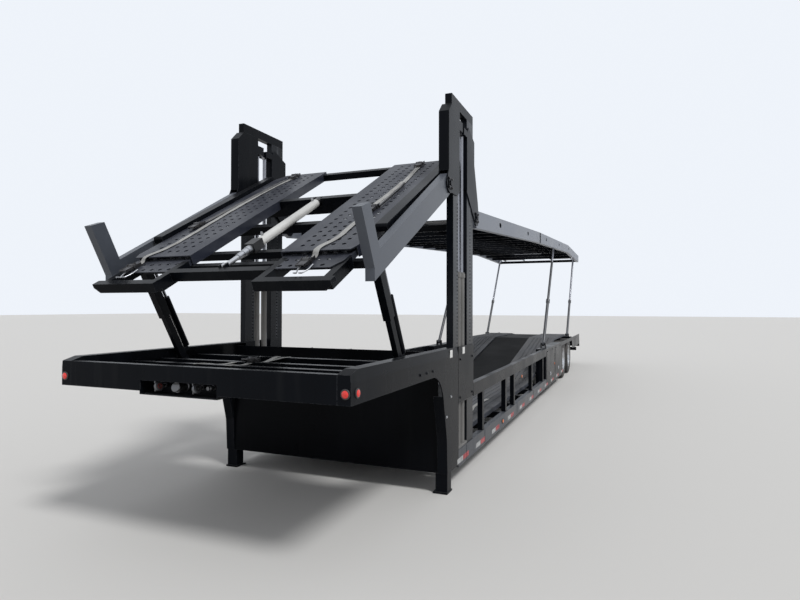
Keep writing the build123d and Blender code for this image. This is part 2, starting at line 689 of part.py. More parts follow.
def make_wheels():
    w = tyre_width / 2
    tyre_face = make_face(Polyline((rim_r, -w + 25), (rim_r + 70, -w), (tyre_r - 22, -w + 8), (tyre_r, -w + 34),
                                   (tyre_r, w - 34), (tyre_r - 22, w - 8), (rim_r + 70, w), (rim_r, w - 25), close=True))
    tyre = revolve(Plane.XY * tyre_face, Axis.Y)
    # columns: radius, distance outwards from the middle of the pair
    bowl = [(rim_r, 32), (rim_r, 258), (rim_r - 16, 258), (rim_r - 24, 200), (rim_r - 36, 60), (205, rim_disc),
            (100, rim_disc), (100, 0), (215, 0), (rim_r - 24, 45), (rim_r - 16, 32)]
    hub = [(spindle_r + running_gap, -200), (110, -200), (110, 110), (85, 150), (0, 150), (0, 125),
           (spindle_r + running_gap, 125)]
    drum = [(100, -30), (207, -30), (207, -225), (193, -225), (193, -44), (100, -44)]
    outer_rim = revolve(Plane.XY * outline(bowl), Axis.Y)
    rims = outer_rim + mirror(outer_rim, about=Plane.XZ) + revolve(Plane.XY * outline(hub), Axis.Y)
    rims = rims + revolve(Plane.XY * outline(drum), Axis.Y)
    for turn in range(hand_holes):
        place = Rot(0, 0, turn * 360 / hand_holes) * Pos(hand_hole_at, 0)
        hole = Plane.XZ.offset(-rim_disc - 1) * place * Circle(hand_hole_r)
        rims = rims - extrude(hole, 2 * rim_disc + 2)
    for number, station in enumerate(axle_stations, start=1):
        place = Pos(x_at(station), wheel_y, wheel_z)
        pair = [place * Pos(0, twin_spacing / 2, 0) * tyre, place * Pos(0, -twin_spacing / 2, 0) * tyre]
        node(f"tyres_{number}_left", pair)
        node(f"tyres_{number}_right", [mirror(t, about=Plane.XZ) for t in pair])
        node(f"rims_{number}_left", [place * rims])
        node(f"rims_{number}_right", [mirror(place * rims, about=Plane.XZ)])


def make_axles():
    x = x_at
    beams = []
    arms = []
    for station in axle_stations:
        beam = rod_y(axle_r, x(station), wheel_z, -(wheel_y - 212), wheel_y - 212)
        beams.append(beam + rod_y(spindle_r, x(station), wheel_z, -(wheel_y + 120), wheel_y + 120))
        arm = slab(outline([(x(station - 420), 640), (x(station - 420), 520), (x(station - 300), 480),
                            (x(station - 60), 400), (x(station + 80), 400), (x(station + 80), 540),
                            (x(station - 60), 560), (x(station - 280), 640)]), chassis_in + 20, chassis_out - 20)
        arms.append(arm - rod_y(axle_r, x(station), wheel_z, chassis_in, chassis_out))
    node("axles", beams)
    node("suspension_arms", both_sides(*arms))


# Rear upper deck

def deck_top(station):
    return along(deck_edge, station)


def deck_band(stations, drop, depth):
    """Outline along the deck's top edge, from drop to drop + depth below it."""
    upper = [(x_at(s), deck_top(s) - drop) for s in stations]
    lower = [(x_at(s), deck_top(s) - drop - depth) for s in reversed(stations)]
    return outline(upper + lower)


def make_rear_deck():
    pin_x, pin_z = x_at(rear_pin[0]), rear_pin[1]
    knots = [s for s, _ in deck_edge]
    rail_face = deck_band([rear_pin[0] + 60] + knots[1:], 0, deck_rail_depth)
    nose = Pos(pin_x, pin_z) * Circle(88) + outline([(pin_x, pin_z + 88), (pin_x - 70, pin_z + 96),
                                                     (pin_x - 70, pin_z - 104), (pin_x, pin_z - 88)])
    rail = slab(rail_face + nose, deck_rail_in, deck_rail_out)
    hollow = deck_band([3400.0, *knots[1:-1], knots[-1] + 10], sheet, deck_rail_depth - 2 * sheet)
    rail = rail - slab(hollow, deck_rail_in + sheet, deck_rail_out - sheet)
    rail = rail - rod_y(pin_r + running_gap, pin_x, pin_z, deck_rail_in - 1, deck_rail_out + 1)
    for station in spaced(deck_slot_first, length - 2500, deck_slot_spacing):
        slot = Pos(x_at(station), deck_top(station) - deck_slot_drop) * SlotOverall(deck_slot[0], deck_slot[1])
        rail = rail - slab(slot, deck_rail_out - 2 * sheet, deck_rail_out + 1)
    for _, (station, height) in (strut_1, strut_2):
        rail = rail + rod_y(35, x_at(station), height, strut_y + 25 + side_gap, deck_rail_in)
    node("deck_rails", both_sides(rail))

    drop = deck_track_drop + deck_track_depth
    beams = []
    # none near the eyes of the rear struts
    for s in spaced(deck_beam_first, length - 1550, deck_beam_spacing) + [length - 190]:
        # a beam that the lowered front pair of struts passes ends at the tracks
        out = track_out if 0 < strut_1[1][0] - s < strut_sweep else deck_rail_in
        beam = slab(deck_band([s, s + deck_beam_width], drop, deck_beam_depth), -out, out)
        beams.append(beam - slab(deck_band([s + sheet, s + deck_beam_width - sheet], drop + sheet, deck_beam_depth),
                                 -out, out))
    node("deck_crossmembers", beams)

    track = slab(deck_band([3300.0] + knots[1:], deck_track_drop, deck_track_depth), track_in, track_out)
    hollow = slab(deck_band([3290.0, *knots[1:-1], knots[-1] + 10], deck_track_drop + sheet, deck_track_depth),
                  track_in + sheet, track_out - sheet)
    node("deck_tracks", both_sides(track - hollow))


def strut_foot():
    """Lower tube's foot with its eye, about the strut's own foot pin."""
    foot = rod_y(45, 0, 0, -25, 25) + tube_along(strut_barrel_r, 0, 70)
    return foot - rod_y(strut_pin_r + running_gap, 0, 0, -40, 40)


def make_strut_1():
    """Three stages: the middle one follows the deck's tilt, the upper one its lift."""
    place, reach = between(*strut_1, strut_y)
    knee = reach * strut_knuckle
    barrel = strut_foot() + tube_along(strut_barrel_r, 60, knee, strut_mid_r + running_gap)
    collar = tube_along(strut_barrel_r + 10, knee - 60, knee + 20, strut_mid_r + running_gap)
    node("strut_1_barrels", both_sides(place * (barrel + collar)))
    mid = tube_along(strut_mid_r, 800, reach - strut_rod_bare, strut_rod_r + running_gap)
    node("strut_1_sleeves", both_sides(place * mid))
    rod = tube_along(strut_rod_r, 1500, reach) + rod_y(40, reach, 0, -25, 25)
    node("strut_1_rods", both_sides(place * rod))


def make_strut_2():
    place, reach = between(*strut_2, strut_y)
    knee = reach * strut_knuckle
    barrel = strut_foot() + tube_along(strut_barrel_r, 60, knee, strut_mid_r + running_gap)
    collar = tube_along(strut_barrel_r + 10, knee - 60, knee + 20, strut_mid_r + running_gap)
    node("strut_2_barrels", both_sides(place * (barrel + collar)))
    rod = tube_along(strut_mid_r, 1130, reach) + rod_y(40, reach, 0, -25, 25)
    node("strut_2_rods", both_sides(place * rod))


def make_foot_brackets():
    """Pins of the front legs on the neck rails, and forked brackets of the struts."""
    pieces = [rod_y(leg_pin_r, x_at(leg_foot[0]), leg_foot[1], leg_y - 40, half_width - gusset_rib)]
    for ((station, height), _), base in ((strut_1, box_top), (strut_2, deck_z - low_track_depth)):
        near, far = strut_barrel_r + side_gap, strut_barrel_r + side_gap + 14
        pin = rod_y(strut_pin_r, x_at(station), height, strut_y - far, strut_y + far)
        cheek = outline([(x_at(station) - 60, base), (x_at(station) + 60, base),
                         (x_at(station) + 40, height + 30), (x_at(station) - 40, height + 30)])
        pieces.append(pin + slab(cheek, strut_y - far, strut_y - near) + slab(cheek, strut_y + near, strut_y + far))
    node("foot_brackets", both_sides(*pieces))


make_neck()
make_gussets()
make_posts()
make_front_carriage()
make_rear_carriage()
make_pins()
make_head_rack()
make_extension()
make_legs()
make_low_frame()
make_rear_frame()
make_wheels()
make_axles()
make_rear_deck()
make_strut_1()
make_strut_2()
make_foot_brackets()

for name, solids in nodes.items():
    export_step(Compound(solids), f"parts/{name}.step")
    print(name, len(solids))
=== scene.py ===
"""Finishes, trim and stage for a high-mount car transporter semi-trailer on its landing legs.

Metres, in the frame's own axes: +X to the coupling end, +Y to the trailer's left, +Z up.
A station is a distance behind the front face of the neck. On the head rack a place is given as
(u, y, w): u forwards along the rack from its hinge, w square to it.
"""

import json
from math import atan2, cos, hypot, pi, radians, sin

import bpy
from bpy.props import FloatProperty, FloatVectorProperty, IntProperty, PointerProperty
from bpy.types import NodeSocket, Operator, Panel, PropertyGroup
from mathutils import Matrix, Vector


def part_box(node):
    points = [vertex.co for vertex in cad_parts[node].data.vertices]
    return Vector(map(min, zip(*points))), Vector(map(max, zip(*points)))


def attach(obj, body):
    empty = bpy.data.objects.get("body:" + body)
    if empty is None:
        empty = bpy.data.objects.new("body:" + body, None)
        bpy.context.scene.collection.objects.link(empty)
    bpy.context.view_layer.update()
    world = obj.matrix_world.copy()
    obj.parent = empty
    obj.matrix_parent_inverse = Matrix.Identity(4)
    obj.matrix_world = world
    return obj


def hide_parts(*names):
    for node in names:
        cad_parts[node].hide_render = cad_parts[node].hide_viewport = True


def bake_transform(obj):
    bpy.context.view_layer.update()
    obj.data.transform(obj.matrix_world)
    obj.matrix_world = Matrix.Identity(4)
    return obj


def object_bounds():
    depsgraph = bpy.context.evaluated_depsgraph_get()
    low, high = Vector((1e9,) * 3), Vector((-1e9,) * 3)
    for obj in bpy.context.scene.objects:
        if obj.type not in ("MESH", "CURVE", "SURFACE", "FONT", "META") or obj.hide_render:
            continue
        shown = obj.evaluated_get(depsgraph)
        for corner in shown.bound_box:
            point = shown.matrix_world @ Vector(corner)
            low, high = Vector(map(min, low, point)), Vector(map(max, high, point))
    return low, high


bl_info = {
    "name": "Car transporter trailer finish",
    "version": (1, 0, 0),
    "blender": (4, 5, 0),
    "location": "View3D > Sidebar > Trailer",
    "description": "Paint, perforated tracks, wheels, lamps, straps and hydraulics of the trailer",
    "category": "Add Mesh",
}

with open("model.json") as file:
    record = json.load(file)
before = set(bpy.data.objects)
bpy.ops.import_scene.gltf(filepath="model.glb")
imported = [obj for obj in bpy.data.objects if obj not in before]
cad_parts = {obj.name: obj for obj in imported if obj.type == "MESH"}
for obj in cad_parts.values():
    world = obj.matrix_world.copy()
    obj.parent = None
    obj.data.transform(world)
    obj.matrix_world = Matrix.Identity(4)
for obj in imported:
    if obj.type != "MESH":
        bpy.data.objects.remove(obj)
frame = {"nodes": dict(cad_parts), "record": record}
CAD_BOX = [list(corner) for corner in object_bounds()]
FRONT_X = CAD_BOX[1][0]
HALF_WIDTH = CAD_BOX[1][1]
SLOTS = {part["node"]: part["material_slot"] for part in frame["record"]["subparts"]}

# Station and height of the head rack's hinge, and its slope
RACK_HINGE = (2.085, 2.985)
RACK_SLOPE = radians(27.9)
RACK_UP = Vector((sin(RACK_SLOPE), 0, cos(RACK_SLOPE)))
# Stations and heights along the upper edges of the rear deck's rails and of the low deck's tracks
DECK_EDGE = ((3.140, 2.886), (7.760, 3.210), (13.000, 3.490), (16.060, 3.455))
LOW_EDGE = ((2.080, 0.350), (8.000, 0.350), (11.700, 1.020), (13.850, 1.020), (16.110, 0.804))
# Drop of the rear deck's tracks below its rails, thickness of a track and place of its middle
DECK_TRACK_DROP = 0.070
SHEET = 0.008
TRACK_MIDDLE = 0.575
# Length of the pegs that cut the tracks' holes
TRACK_PEG = 0.030
AXLES = (11.870, 13.115)
WHEEL_Z = 0.468
TWIN_SPACING = 0.290
WHEEL_Y = 1.007
# Stations of the lock holes down a post, with the heights of the lowest and the highest one
LOCK_ROWS = ((2.360, 1.42, 2.86), (2.846, 1.42, 2.68))
LOCK_PITCH = 0.038
LOCK_RADIUS = 0.0130
POST_DEPTH = 0.070
# Stations of the box doors' ends and of the joints in the rails
SIDE_DOORS = ((8.68, 9.78), (10.02, 11.14))
RAIL_SPLICES = (2.680, 3.480, 5.500, 7.000)
DECK_SPLICE = 7.940
# Stations of the lift cylinders
BARREL_STATIONS = (2.478, 2.622)
STRAP_SHEET = 0.0026
TAPE_SHEET = 0.0012
TAPE_MIDDLE = 0.225
TAPE_EDGE = 0.0004
# Corners closer than this are one
WELD = 0.00002
FORWARD, LEFT, UP = (1, 0, 0), (0, 1, 0), Vector((0, 0, 1))
SIDES = (1, -1)

# Finishes of the CAD nodes by slot, and of single nodes; the others have the frame's paint
SLOT_FINISH = {"chrome_rod": "chromed_rod", "bare_steel": "machined_steel",
               "polished_rim": "rim_metal", "tyre": "tyre_rubber",
               "cylinder_white": "cylinder_paint", "track_grey": "track_paint",
               "arm_grey": "arm_reflection_paint"}
# The deck rails' pale paint is a painted sky reflection; the centre panel's and the bulkhead's
# near-black paints are painted shade
NODE_FINISH = {"low_rails": "rail_paint", "lift_barrels": "barrel_paint",
               "deck_rails": "deck_rail_reflection_paint", "strut_1_barrels": "strut_paint",
               "strut_1_sleeves": "strut_paint", "strut_2_barrels": "strut_paint",
               "head_cylinder_rod": "zinc", "centre_panel": "well_shadow_paint",
               "bulkhead": "bulkhead_shade_paint"}


def x_at(station):
    return FRONT_X - station


def rack(u, y, w):
    """Place on the head rack."""
    return Vector((x_at(RACK_HINGE[0]) + u * cos(RACK_SLOPE) + w * sin(RACK_SLOPE), y,
                   RACK_HINGE[1] - u * sin(RACK_SLOPE) + w * cos(RACK_SLOPE)))


def trailer(station, y, z):
    """Place by station, side and height."""
    return Vector((x_at(station), y, z))


def height_on(edge, station):
    """Height at a station on a line through (station, height) points."""
    for (s0, z0), (s1, z1) in zip(edge, edge[1:]):
        if station <= s1 or (s1, z1) == edge[-1]:
            return z0 + (z1 - z0) * (station - s0) / (s1 - s0)


# Settings

class PaintSettings(PropertyGroup):
    """Colours, wear and painted edge highlights of the painted steel."""
    frame_colour: FloatVectorProperty(
        name="Frame colour", description="Gloss black of the frame",
        default=(0.0036, 0.0045, 0.0065), subtype="COLOR")
    # Grey that stands for the sky reflected in the arms' gloss black paint: a painted reflection
    arm_reflection_colour: FloatVectorProperty(
        name="Arm colour", description="Grey of the rack's arms",
        default=(0.062, 0.070, 0.086), subtype="COLOR")
    track_colour: FloatVectorProperty(
        name="Track colour", description="Worn blue-grey black of the tracks",
        default=(0.015, 0.0178, 0.029), subtype="COLOR")
    # Pale grey laid along edges: partly scuffed paint, partly a painted highlight where edges would
    # catch light
    edge_scuff_and_highlight_colour: FloatVectorProperty(
        name="Scuffed edge colour", description="Grey of scuffed paint at edges",
        default=(0.10, 0.105, 0.115), subtype="COLOR")
    dust_colour: FloatVectorProperty(
        name="Dust colour", description="Pale road dust",
        default=(0.13, 0.128, 0.124), subtype="COLOR")
    # Share of each edge given the pale grey, as scuffs and as painted edge highlight
    edge_wear_and_highlight: FloatProperty(
        name="Edge wear and highlight", description="How much of each edge is scuffed",
        default=0.55, min=0, max=1)
    dust: FloatProperty(
        name="Dust", description="Dust on faces that look up", default=0.12, min=0, max=1)


class TrackSettings(PropertyGroup):
    """Round holes in the tracks."""
    hole: FloatProperty(
        name="Hole", description="Diameter of a hole", default=0.038, unit="LENGTH")
    pitch: FloatProperty(
        name="Row pitch", description="From one row of holes to the next",
        default=0.100, unit="LENGTH")
    column_pitch: FloatProperty(
        name="Column pitch", description="Across the track, from hole to hole",
        default=0.090, unit="LENGTH")
    columns: IntProperty(name="Columns", description="Holes across a track", default=5)


class WheelSettings(PropertyGroup):
    """Tyre tread and wheel nuts."""
    groove_width: FloatProperty(
        name="Groove width", description="Width of a groove round the tread",
        default=0.011, unit="LENGTH")
    groove_depth: FloatProperty(
        name="Groove depth", description="Depth of a groove round the tread",
        default=0.012, unit="LENGTH")
    nuts: IntProperty(name="Nuts", description="Wheel nuts on a hub", default=10)
    nut_circle: FloatProperty(
        name="Nut circle", description="Radius of the circle that the nuts stand on",
        default=0.143, unit="LENGTH")


class TrimSettings(PropertyGroup):
    """Lamps, tape and straps."""
    lamp: FloatProperty(
        name="Lamp", description="Diameter of a marker lamp", default=0.062, unit="LENGTH")
    tape_height: FloatProperty(
        name="Tape height", description="Height of the reflecting tape",
        default=0.052, unit="LENGTH")
    tape_pitch: FloatProperty(
        name="Tape pitch", description="From one pair of pieces of tape to the next",
        default=0.90, unit="LENGTH")
    tape_length: FloatProperty(
        name="Tape length", description="Length of one piece of tape",
        default=0.205, unit="LENGTH")
    strap_width: FloatProperty(
        name="Strap width", description="Width of the webbing", default=0.050, unit="LENGTH")
    strap_colour: FloatVectorProperty(
        name="Strap colour", description="Pale webbing",
        default=(0.50, 0.50, 0.48), subtype="COLOR")


class StageSettings(PropertyGroup):
    """Camera, floor and light."""
    camera_place: FloatVectorProperty(
        name="Camera place", description="Where the camera stands",
        default=(11.285, 2.942, 1.780), subtype="TRANSLATION", unit="LENGTH")
    camera_yaw: FloatProperty(
        name="Camera yaw", description="Turn of the view from straight back along the trailer",
        default=0.389)
    camera_pitch: FloatProperty(
        name="Camera pitch", description="Rise of the view above the horizon", default=0.013)
    camera_roll: FloatProperty(
        name="Camera roll", description="Lean of the camera", default=0.002)
    lens: FloatProperty(
        name="Lens", description="Focal length on a 36 mm wide sensor, in millimetres",
        default=25.70)
    floor_colour: FloatVectorProperty(
        name="Floor colour", description="Pale floor", default=(0.60, 0.59, 0.57),
        subtype="COLOR")
    sky_colour: FloatVectorProperty(
        name="Sky colour", description="Pale background", default=(0.86, 0.90, 0.96),
        subtype="COLOR")
    sky_light: FloatProperty(
        name="Sky light", description="Strength of the soft light from all round", default=0.60)
    sun_light: FloatProperty(
        name="Sun light", description="Strength of the soft key light", default=1.9)


# Mesh tools

def deselect():
    """Leave edit mode and select nothing."""
    if bpy.context.object and bpy.context.object.mode != "OBJECT":
        bpy.ops.object.mode_set(mode="OBJECT")
    bpy.ops.object.select_all(action="DESELECT")


def take(*pieces):
    """Select these pieces alone, the first one active."""
    deselect()
    for piece in pieces:
        piece.select_set(True)
    bpy.context.view_layer.objects.active = pieces[0]


def new_object(name, data):
    """Object in the scene."""
    thing = bpy.data.objects.new(name, data)
    bpy.context.scene.collection.objects.link(thing)
    return thing


def new_piece(name, corners, edges, faces):
    """Piece with a mesh of these corners, edges and faces."""
    mesh = bpy.data.meshes.new(name)
    mesh.from_pydata(corners, edges, faces)
    return new_object(name, mesh)


def rest(piece):
    """Put a piece's place into its mesh."""
    take(piece)
    bpy.ops.object.transform_apply(location=True, rotation=True, scale=True)
    return piece


def modify(piece, kind, **values):
    """Add a modifier and apply it."""
    take(piece)
    modifier = piece.modifiers.new(kind.lower(), kind)
    for key, value in values.items():
        setattr(modifier, key, value)
    bpy.ops.object.modifier_apply(modifier=modifier.name)
    return piece


def edit(piece, *steps):
    """Run mesh operators, each with its values, on the whole of a piece."""
    take(piece)
    bpy.ops.object.mode_set(mode="EDIT")
    for step, values in steps:
        bpy.ops.mesh.select_all(action="SELECT")
        step(**values)
    bpy.ops.object.mode_set(mode="OBJECT")


def facing(axis):
    """Turn that brings Z onto an axis."""
    return Vector(axis).normalized().to_track_quat("Z", "Y")


def block(low, high, edge=0.003, segments=2):
    """Box with rounded edges between two corners."""
    deselect()
    bpy.ops.mesh.primitive_cube_add(size=1, location=[(a + b) / 2 for a, b in zip(low, high)],
                                    scale=[abs(b - a) for a, b in zip(low, high)])
    return modify(rest(bpy.context.object), "BEVEL", width=edge, segments=segments)


def side_plate(first, last, depths, edge=0.003, segments=2):
    """Plate on the left side between two (x, z) corners; depths count outwards from the side."""
    return block((first[0], HALF_WIDTH + depths[0], first[1]),
                 (last[0], HALF_WIDTH + depths[1], last[1]), edge, segments)


def disc(place, axis, radius, depth, edge=0.002, sides=32):
    """Round piece that stands on place and rises along axis, its rims rounded."""
    deselect()
    bpy.ops.mesh.primitive_cylinder_add(
        vertices=sides, radius=radius, depth=depth, rotation=facing(axis).to_euler(),
        location=Vector(place) + Vector(axis).normalized() * depth / 2)
    piece = rest(bpy.context.object)
    modify(piece, "BEVEL", width=edge, segments=2, limit_method="ANGLE", angle_limit=radians(60))
    return smooth(piece)


def smooth(piece, angle=35):
    take(piece)
    bpy.ops.object.shade_smooth_by_angle(angle=radians(angle))
    return piece


def join(pieces):
    """Make one piece of several."""
    if len(pieces) > 1:
        take(*pieces)
        bpy.ops.object.join()
    return pieces[0]


def flip(piece):
    """Bring a piece to the trailer's other side."""
    piece.data.transform(Matrix.Scale(-1, 4, LEFT))
    piece.data.flip_normals()


def copy(piece, move=(0, 0, 0), mirror=False):
    """Copy with its own mesh, moved, or mirrored to the trailer's other side."""
    other = new_object(piece.name, piece.data.copy())
    if mirror:
        flip(other)
    other.data.transform(Matrix.Translation(move))
    return other


def both_sides(piece):
    return join([piece, copy(piece, mirror=True)])


def lathe(profile, place, axis, steps=48):
    """Solid of revolution from (radius, height) points, off the axis and back, or closed."""
    edges = [(i, i + 1) for i in range(len(profile) - 1)]
    piece = new_piece("lathe", [(r, 0, h) for r, h in profile], edges, [])
    edit(piece,
         (bpy.ops.mesh.spin, {"steps": steps, "angle": 2 * pi, "center": (0, 0, 0), "axis": UP}),
         (bpy.ops.mesh.remove_doubles, {"threshold": WELD}),
         (bpy.ops.mesh.dissolve_degenerate, {"threshold": WELD / 2}),
         (bpy.ops.mesh.normals_make_consistent, {"inside": False}))
    piece.data.transform(Matrix.Translation(place) @ facing(axis).to_matrix().to_4x4())
    return smooth(piece)


def curve(name, points, resolution):
    """Smooth curve from the first of these points to the last."""
    line = bpy.data.curves.new(name, "CURVE")
    line.dimensions = "3D"
    run = line.splines.new("NURBS")
    run.points.add(len(points) - 1)
    for knot, place in zip(run.points, points):
        knot.co = (*place, 1)
    run.order_u = 3
    run.use_endpoint_u = True
    run.resolution_u = resolution
    return line


def pipe(points, radius, sides=10):
    """Bent tube through these points, with rounded corners."""
    points = [Vector(point) for point in points]
    path = points[:1]
    for before, corner, after in zip(points, points[1:], points[2:]):
        reach = min(5 * radius, (corner - before).length / 2.2, (after - corner).length / 2.2)
        path += [corner + (before - corner).normalized() * reach, corner,
                 corner + (after - corner).normalized() * reach]
    line = curve("pipe", path + points[-1:], 3)
    line.bevel_depth = radius
    line.bevel_resolution = max(1, sides // 4)
    line.use_fill_caps = True
    take(new_object("pipe", line))
    bpy.ops.object.convert(target="MESH")
    return smooth(bpy.context.object, 60)


def settle(piece, name, finish, body="frame"):
    """Name a piece, give it its finish and attach it to its body.

    A piece with no body is left unattached.
    """
    piece.name = piece.data.name = name
    piece.data.materials.clear()
    piece.data.materials.append(bpy.data.materials[finish])
    if body:
        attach(piece, body)


def merged_copy(node):
    """Copy of a CAD node with its loose triangles joined."""
    piece = frame["nodes"][node].copy()
    piece.data = frame["nodes"][node].data.copy()
    piece.parent = None
    piece.matrix_world = Matrix()
    bpy.context.scene.collection.objects.link(piece)
    edit(piece, (bpy.ops.mesh.remove_doubles, {"threshold": WELD}))
    if piece.data.has_custom_normals:
        bpy.ops.mesh.customdata_custom_splitnormals_clear()
    return piece


def pierce(piece, cutter):
    """Cut holes with a closed mesh, and remove it."""
    modify(piece, "BOOLEAN", object=cutter, operation="DIFFERENCE", solver="MANIFOLD")
    bpy.data.objects.remove(cutter, do_unlink=True)
    smooth(piece, 30)


def row_of_pegs(first, last, pitch, radius, depth, up, across=LEFT, columns=1, sides=8):
    """Pegs for round holes in rows from first to last, columns of them in steps of across."""
    deselect()
    first, last = Vector(first), Vector(last)
    rows = int((last - first).length / pitch + 0.001) + 1
    bpy.ops.mesh.primitive_cylinder_add(vertices=sides, radius=radius, depth=depth, location=first,
                                        rotation=facing(up).to_euler())
    peg = rest(bpy.context.object)
    for step, count in (((last - first).normalized() * pitch, rows), (across, columns)):
        modify(peg, "ARRAY", use_relative_offset=False, use_constant_offset=True,
               constant_offset_displace=step, count=count)
    return [peg, copy(peg, mirror=True)]


# Material tools

def give(tree, node, inputs):
    """Link or set a shader node's inputs."""
    for key, value in inputs.items():
        if isinstance(value, NodeSocket):
            tree.links.new(value, node.inputs[key])
        else:
            node.inputs[key].default_value = value


def add(tree, kind, inputs=None, **values):
    """Add a shader node, set its values, and link or set its inputs."""
    node = tree.nodes.new(kind)
    for key, value in values.items():
        setattr(node, key, value)
    give(tree, node, inputs or {})
    return node


def reckon(tree, operation, a, b=0.0, clamp=True):
    """Result of a calculation on two values."""
    return add(tree, "ShaderNodeMath", {0: a, 1: b}, operation=operation,
               use_clamp=clamp).outputs[0]


def times(tree, a, b):
    """Product of two values, clamped."""
    return reckon(tree, "MULTIPLY", a, b)


def remap(tree, value, low, high, to_low=0.0, to_high=1.0):
    """Value brought from the span low..high to another one."""
    return add(tree, "ShaderNodeMapRange", {"Value": value, "From Min": low, "From Max": high,
                                            "To Min": to_low, "To Max": to_high}).outputs[0]


def blend(tree, mask, first, second, kind="MIX"):
    """Colour from first to second by a mask."""
    return add(tree, "ShaderNodeMix", {0: mask, 6: first, 7: second}, data_type="RGBA",
               blend_type=kind).outputs[2]


def noise(tree, place, scale, detail=3.0, stretch=None):
    """Noise value at a place, stretched along an axis if wanted."""
    if stretch:
        place = add(tree, "ShaderNodeMapping", {"Vector": place, "Scale": stretch}).outputs[0]
    return add(tree, "ShaderNodeTexNoise",
               {"Vector": place, "Scale": scale, "Detail": detail}).outputs[0]


def dot(tree, first, second):
    """Dot product of two vectors."""
    return add(tree, "ShaderNodeVectorMath", {0: first, 1: second},
               operation="DOT_PRODUCT").outputs["Value"]


def bump(tree, height, strength, distance):
    """Normal over a height."""
    return add(tree, "ShaderNodeBump", {"Height": height, "Strength": strength,
                                        "Distance": distance}).outputs[0]


def new_group(name, values):
    """Shader node group from colours and values to a colour, a roughness and a height."""
    tree = bpy.data.node_groups.new(name, "ShaderNodeTree")
    for label in values:
        kind = "Color" if "olour" in label else "Float"
        tree.interface.new_socket(name=label, in_out="INPUT", socket_type="NodeSocket" + kind)
    for label, kind in (("Colour", "Color"), ("Roughness", "Float"), ("Height", "Float")):
        tree.interface.new_socket(name=label, in_out="OUTPUT", socket_type="NodeSocket" + kind)
    place = add(tree, "ShaderNodeTexCoord").outputs["Object"]
    return (tree, tree.nodes.new("NodeGroupInput").outputs, tree.nodes.new("NodeGroupOutput"),
            place)


def build_weathering_and_edge_highlight():
    """Scuffed edges that also carry a painted edge highlight, dust on faces that look up, rain
    streaks and uneven colour.
    """
    tree, given, result, place = new_group(
        "weathering_and_edge_highlight", ("Colour", "Edge scuff and highlight colour", "Edge wear and highlight", "Dust colour", "Dust", "Gloss"))
    cloud = noise(tree, place, 1.6, 5.0)
    fine = noise(tree, place, 38.0, 3.0)
    streak = noise(tree, place, 9.0, 4.0, (1, 1, 0.09))
    face = add(tree, "ShaderNodeNewGeometry").outputs["Normal"]
    soft = add(tree, "ShaderNodeBevel", {"Radius": 0.006}, samples=4).outputs[0]
    # Pale grey along the edges from the bevelled normal: partly scuffed paint, partly a painted
    # highlight where the edges would catch light
    corner = remap(tree, dot(tree, soft, face), 0.97, 0.80)
    scuff = remap(tree, fine, 0.40, 0.58)
    edge = times(tree, times(tree, corner, scuff), given["Edge wear and highlight"])
    up = add(tree, "ShaderNodeSeparateXYZ", {0: face}).outputs["Z"]
    lying = times(tree, remap(tree, up, 0.55, 0.98), remap(tree, cloud, 0.30, 0.70, 0.35, 1.0))
    running = times(tree, remap(tree, streak, 0.52, 0.78), 0.30)
    dust = times(tree, reckon(tree, "MAXIMUM", lying, running), given["Dust"])
    uneven = remap(tree, cloud, 0.25, 0.75, 0.75, 1.30)
    tone = blend(tree, 1.0, given["Colour"], uneven, "MULTIPLY")
    tone = blend(tree, edge, tone, given["Edge scuff and highlight colour"])
    tone = blend(tree, dust, tone, given["Dust colour"])
    rough = reckon(tree, "ADD", given["Gloss"], remap(tree, cloud, 0.3, 0.7, -0.05, 0.07), False)
    rough = reckon(tree, "ADD", rough, times(tree, dust, 0.9), False)
    rough = reckon(tree, "ADD", rough, times(tree, edge, 0.25))
    give(tree, result, {"Colour": tone, "Roughness": rough, "Height": fine})


def build_grain():
    """Fine random grain for plastic, rubber and cast metal, with a little dirt in it."""
    tree, given, result, place = new_group(
        "grain", ("Colour", "Dirt colour", "Dirt", "Scale", "Gloss"))
    cloud = noise(tree, place, 6.0, 4.0)
    small = noise(tree, place, given["Scale"], 2.0)
    mask = times(tree, remap(tree, cloud, 0.38, 0.68), given["Dirt"])
    uneven = remap(tree, small, 0.3, 0.7, 0.85, 1.12)
    tone = blend(tree, 1.0, given["Colour"], uneven, "MULTIPLY")
    tone = blend(tree, mask, tone, given["Dirt colour"])
    rough = reckon(tree, "ADD", given["Gloss"], times(tree, mask, 0.3), False)
    rough = reckon(tree, "ADD", rough, remap(tree, small, 0.3, 0.7, -0.04, 0.06))
    give(tree, result, {"Colour": tone, "Roughness": rough, "Height": small})


def new_material(name):
    """Node tree, Principled shader and Object coordinates of a new material."""
    material = bpy.data.materials.new(name)
    material.use_nodes = True
    tree = material.node_tree
    place = add(tree, "ShaderNodeTexCoord").outputs["Object"]
    return tree, tree.nodes["Principled BSDF"], place


def dress(tree, shader, group, inputs, depth):
    """Drive a shader by a group of effects with these inputs."""
    effect = add(tree, "ShaderNodeGroup", inputs, node_tree=bpy.data.node_groups[group])
    give(tree, shader, {"Base Color": effect.outputs["Colour"],
                        "Roughness": effect.outputs["Roughness"],
                        "Normal": bump(tree, effect.outputs["Height"], 0.35, depth)})
    return effect


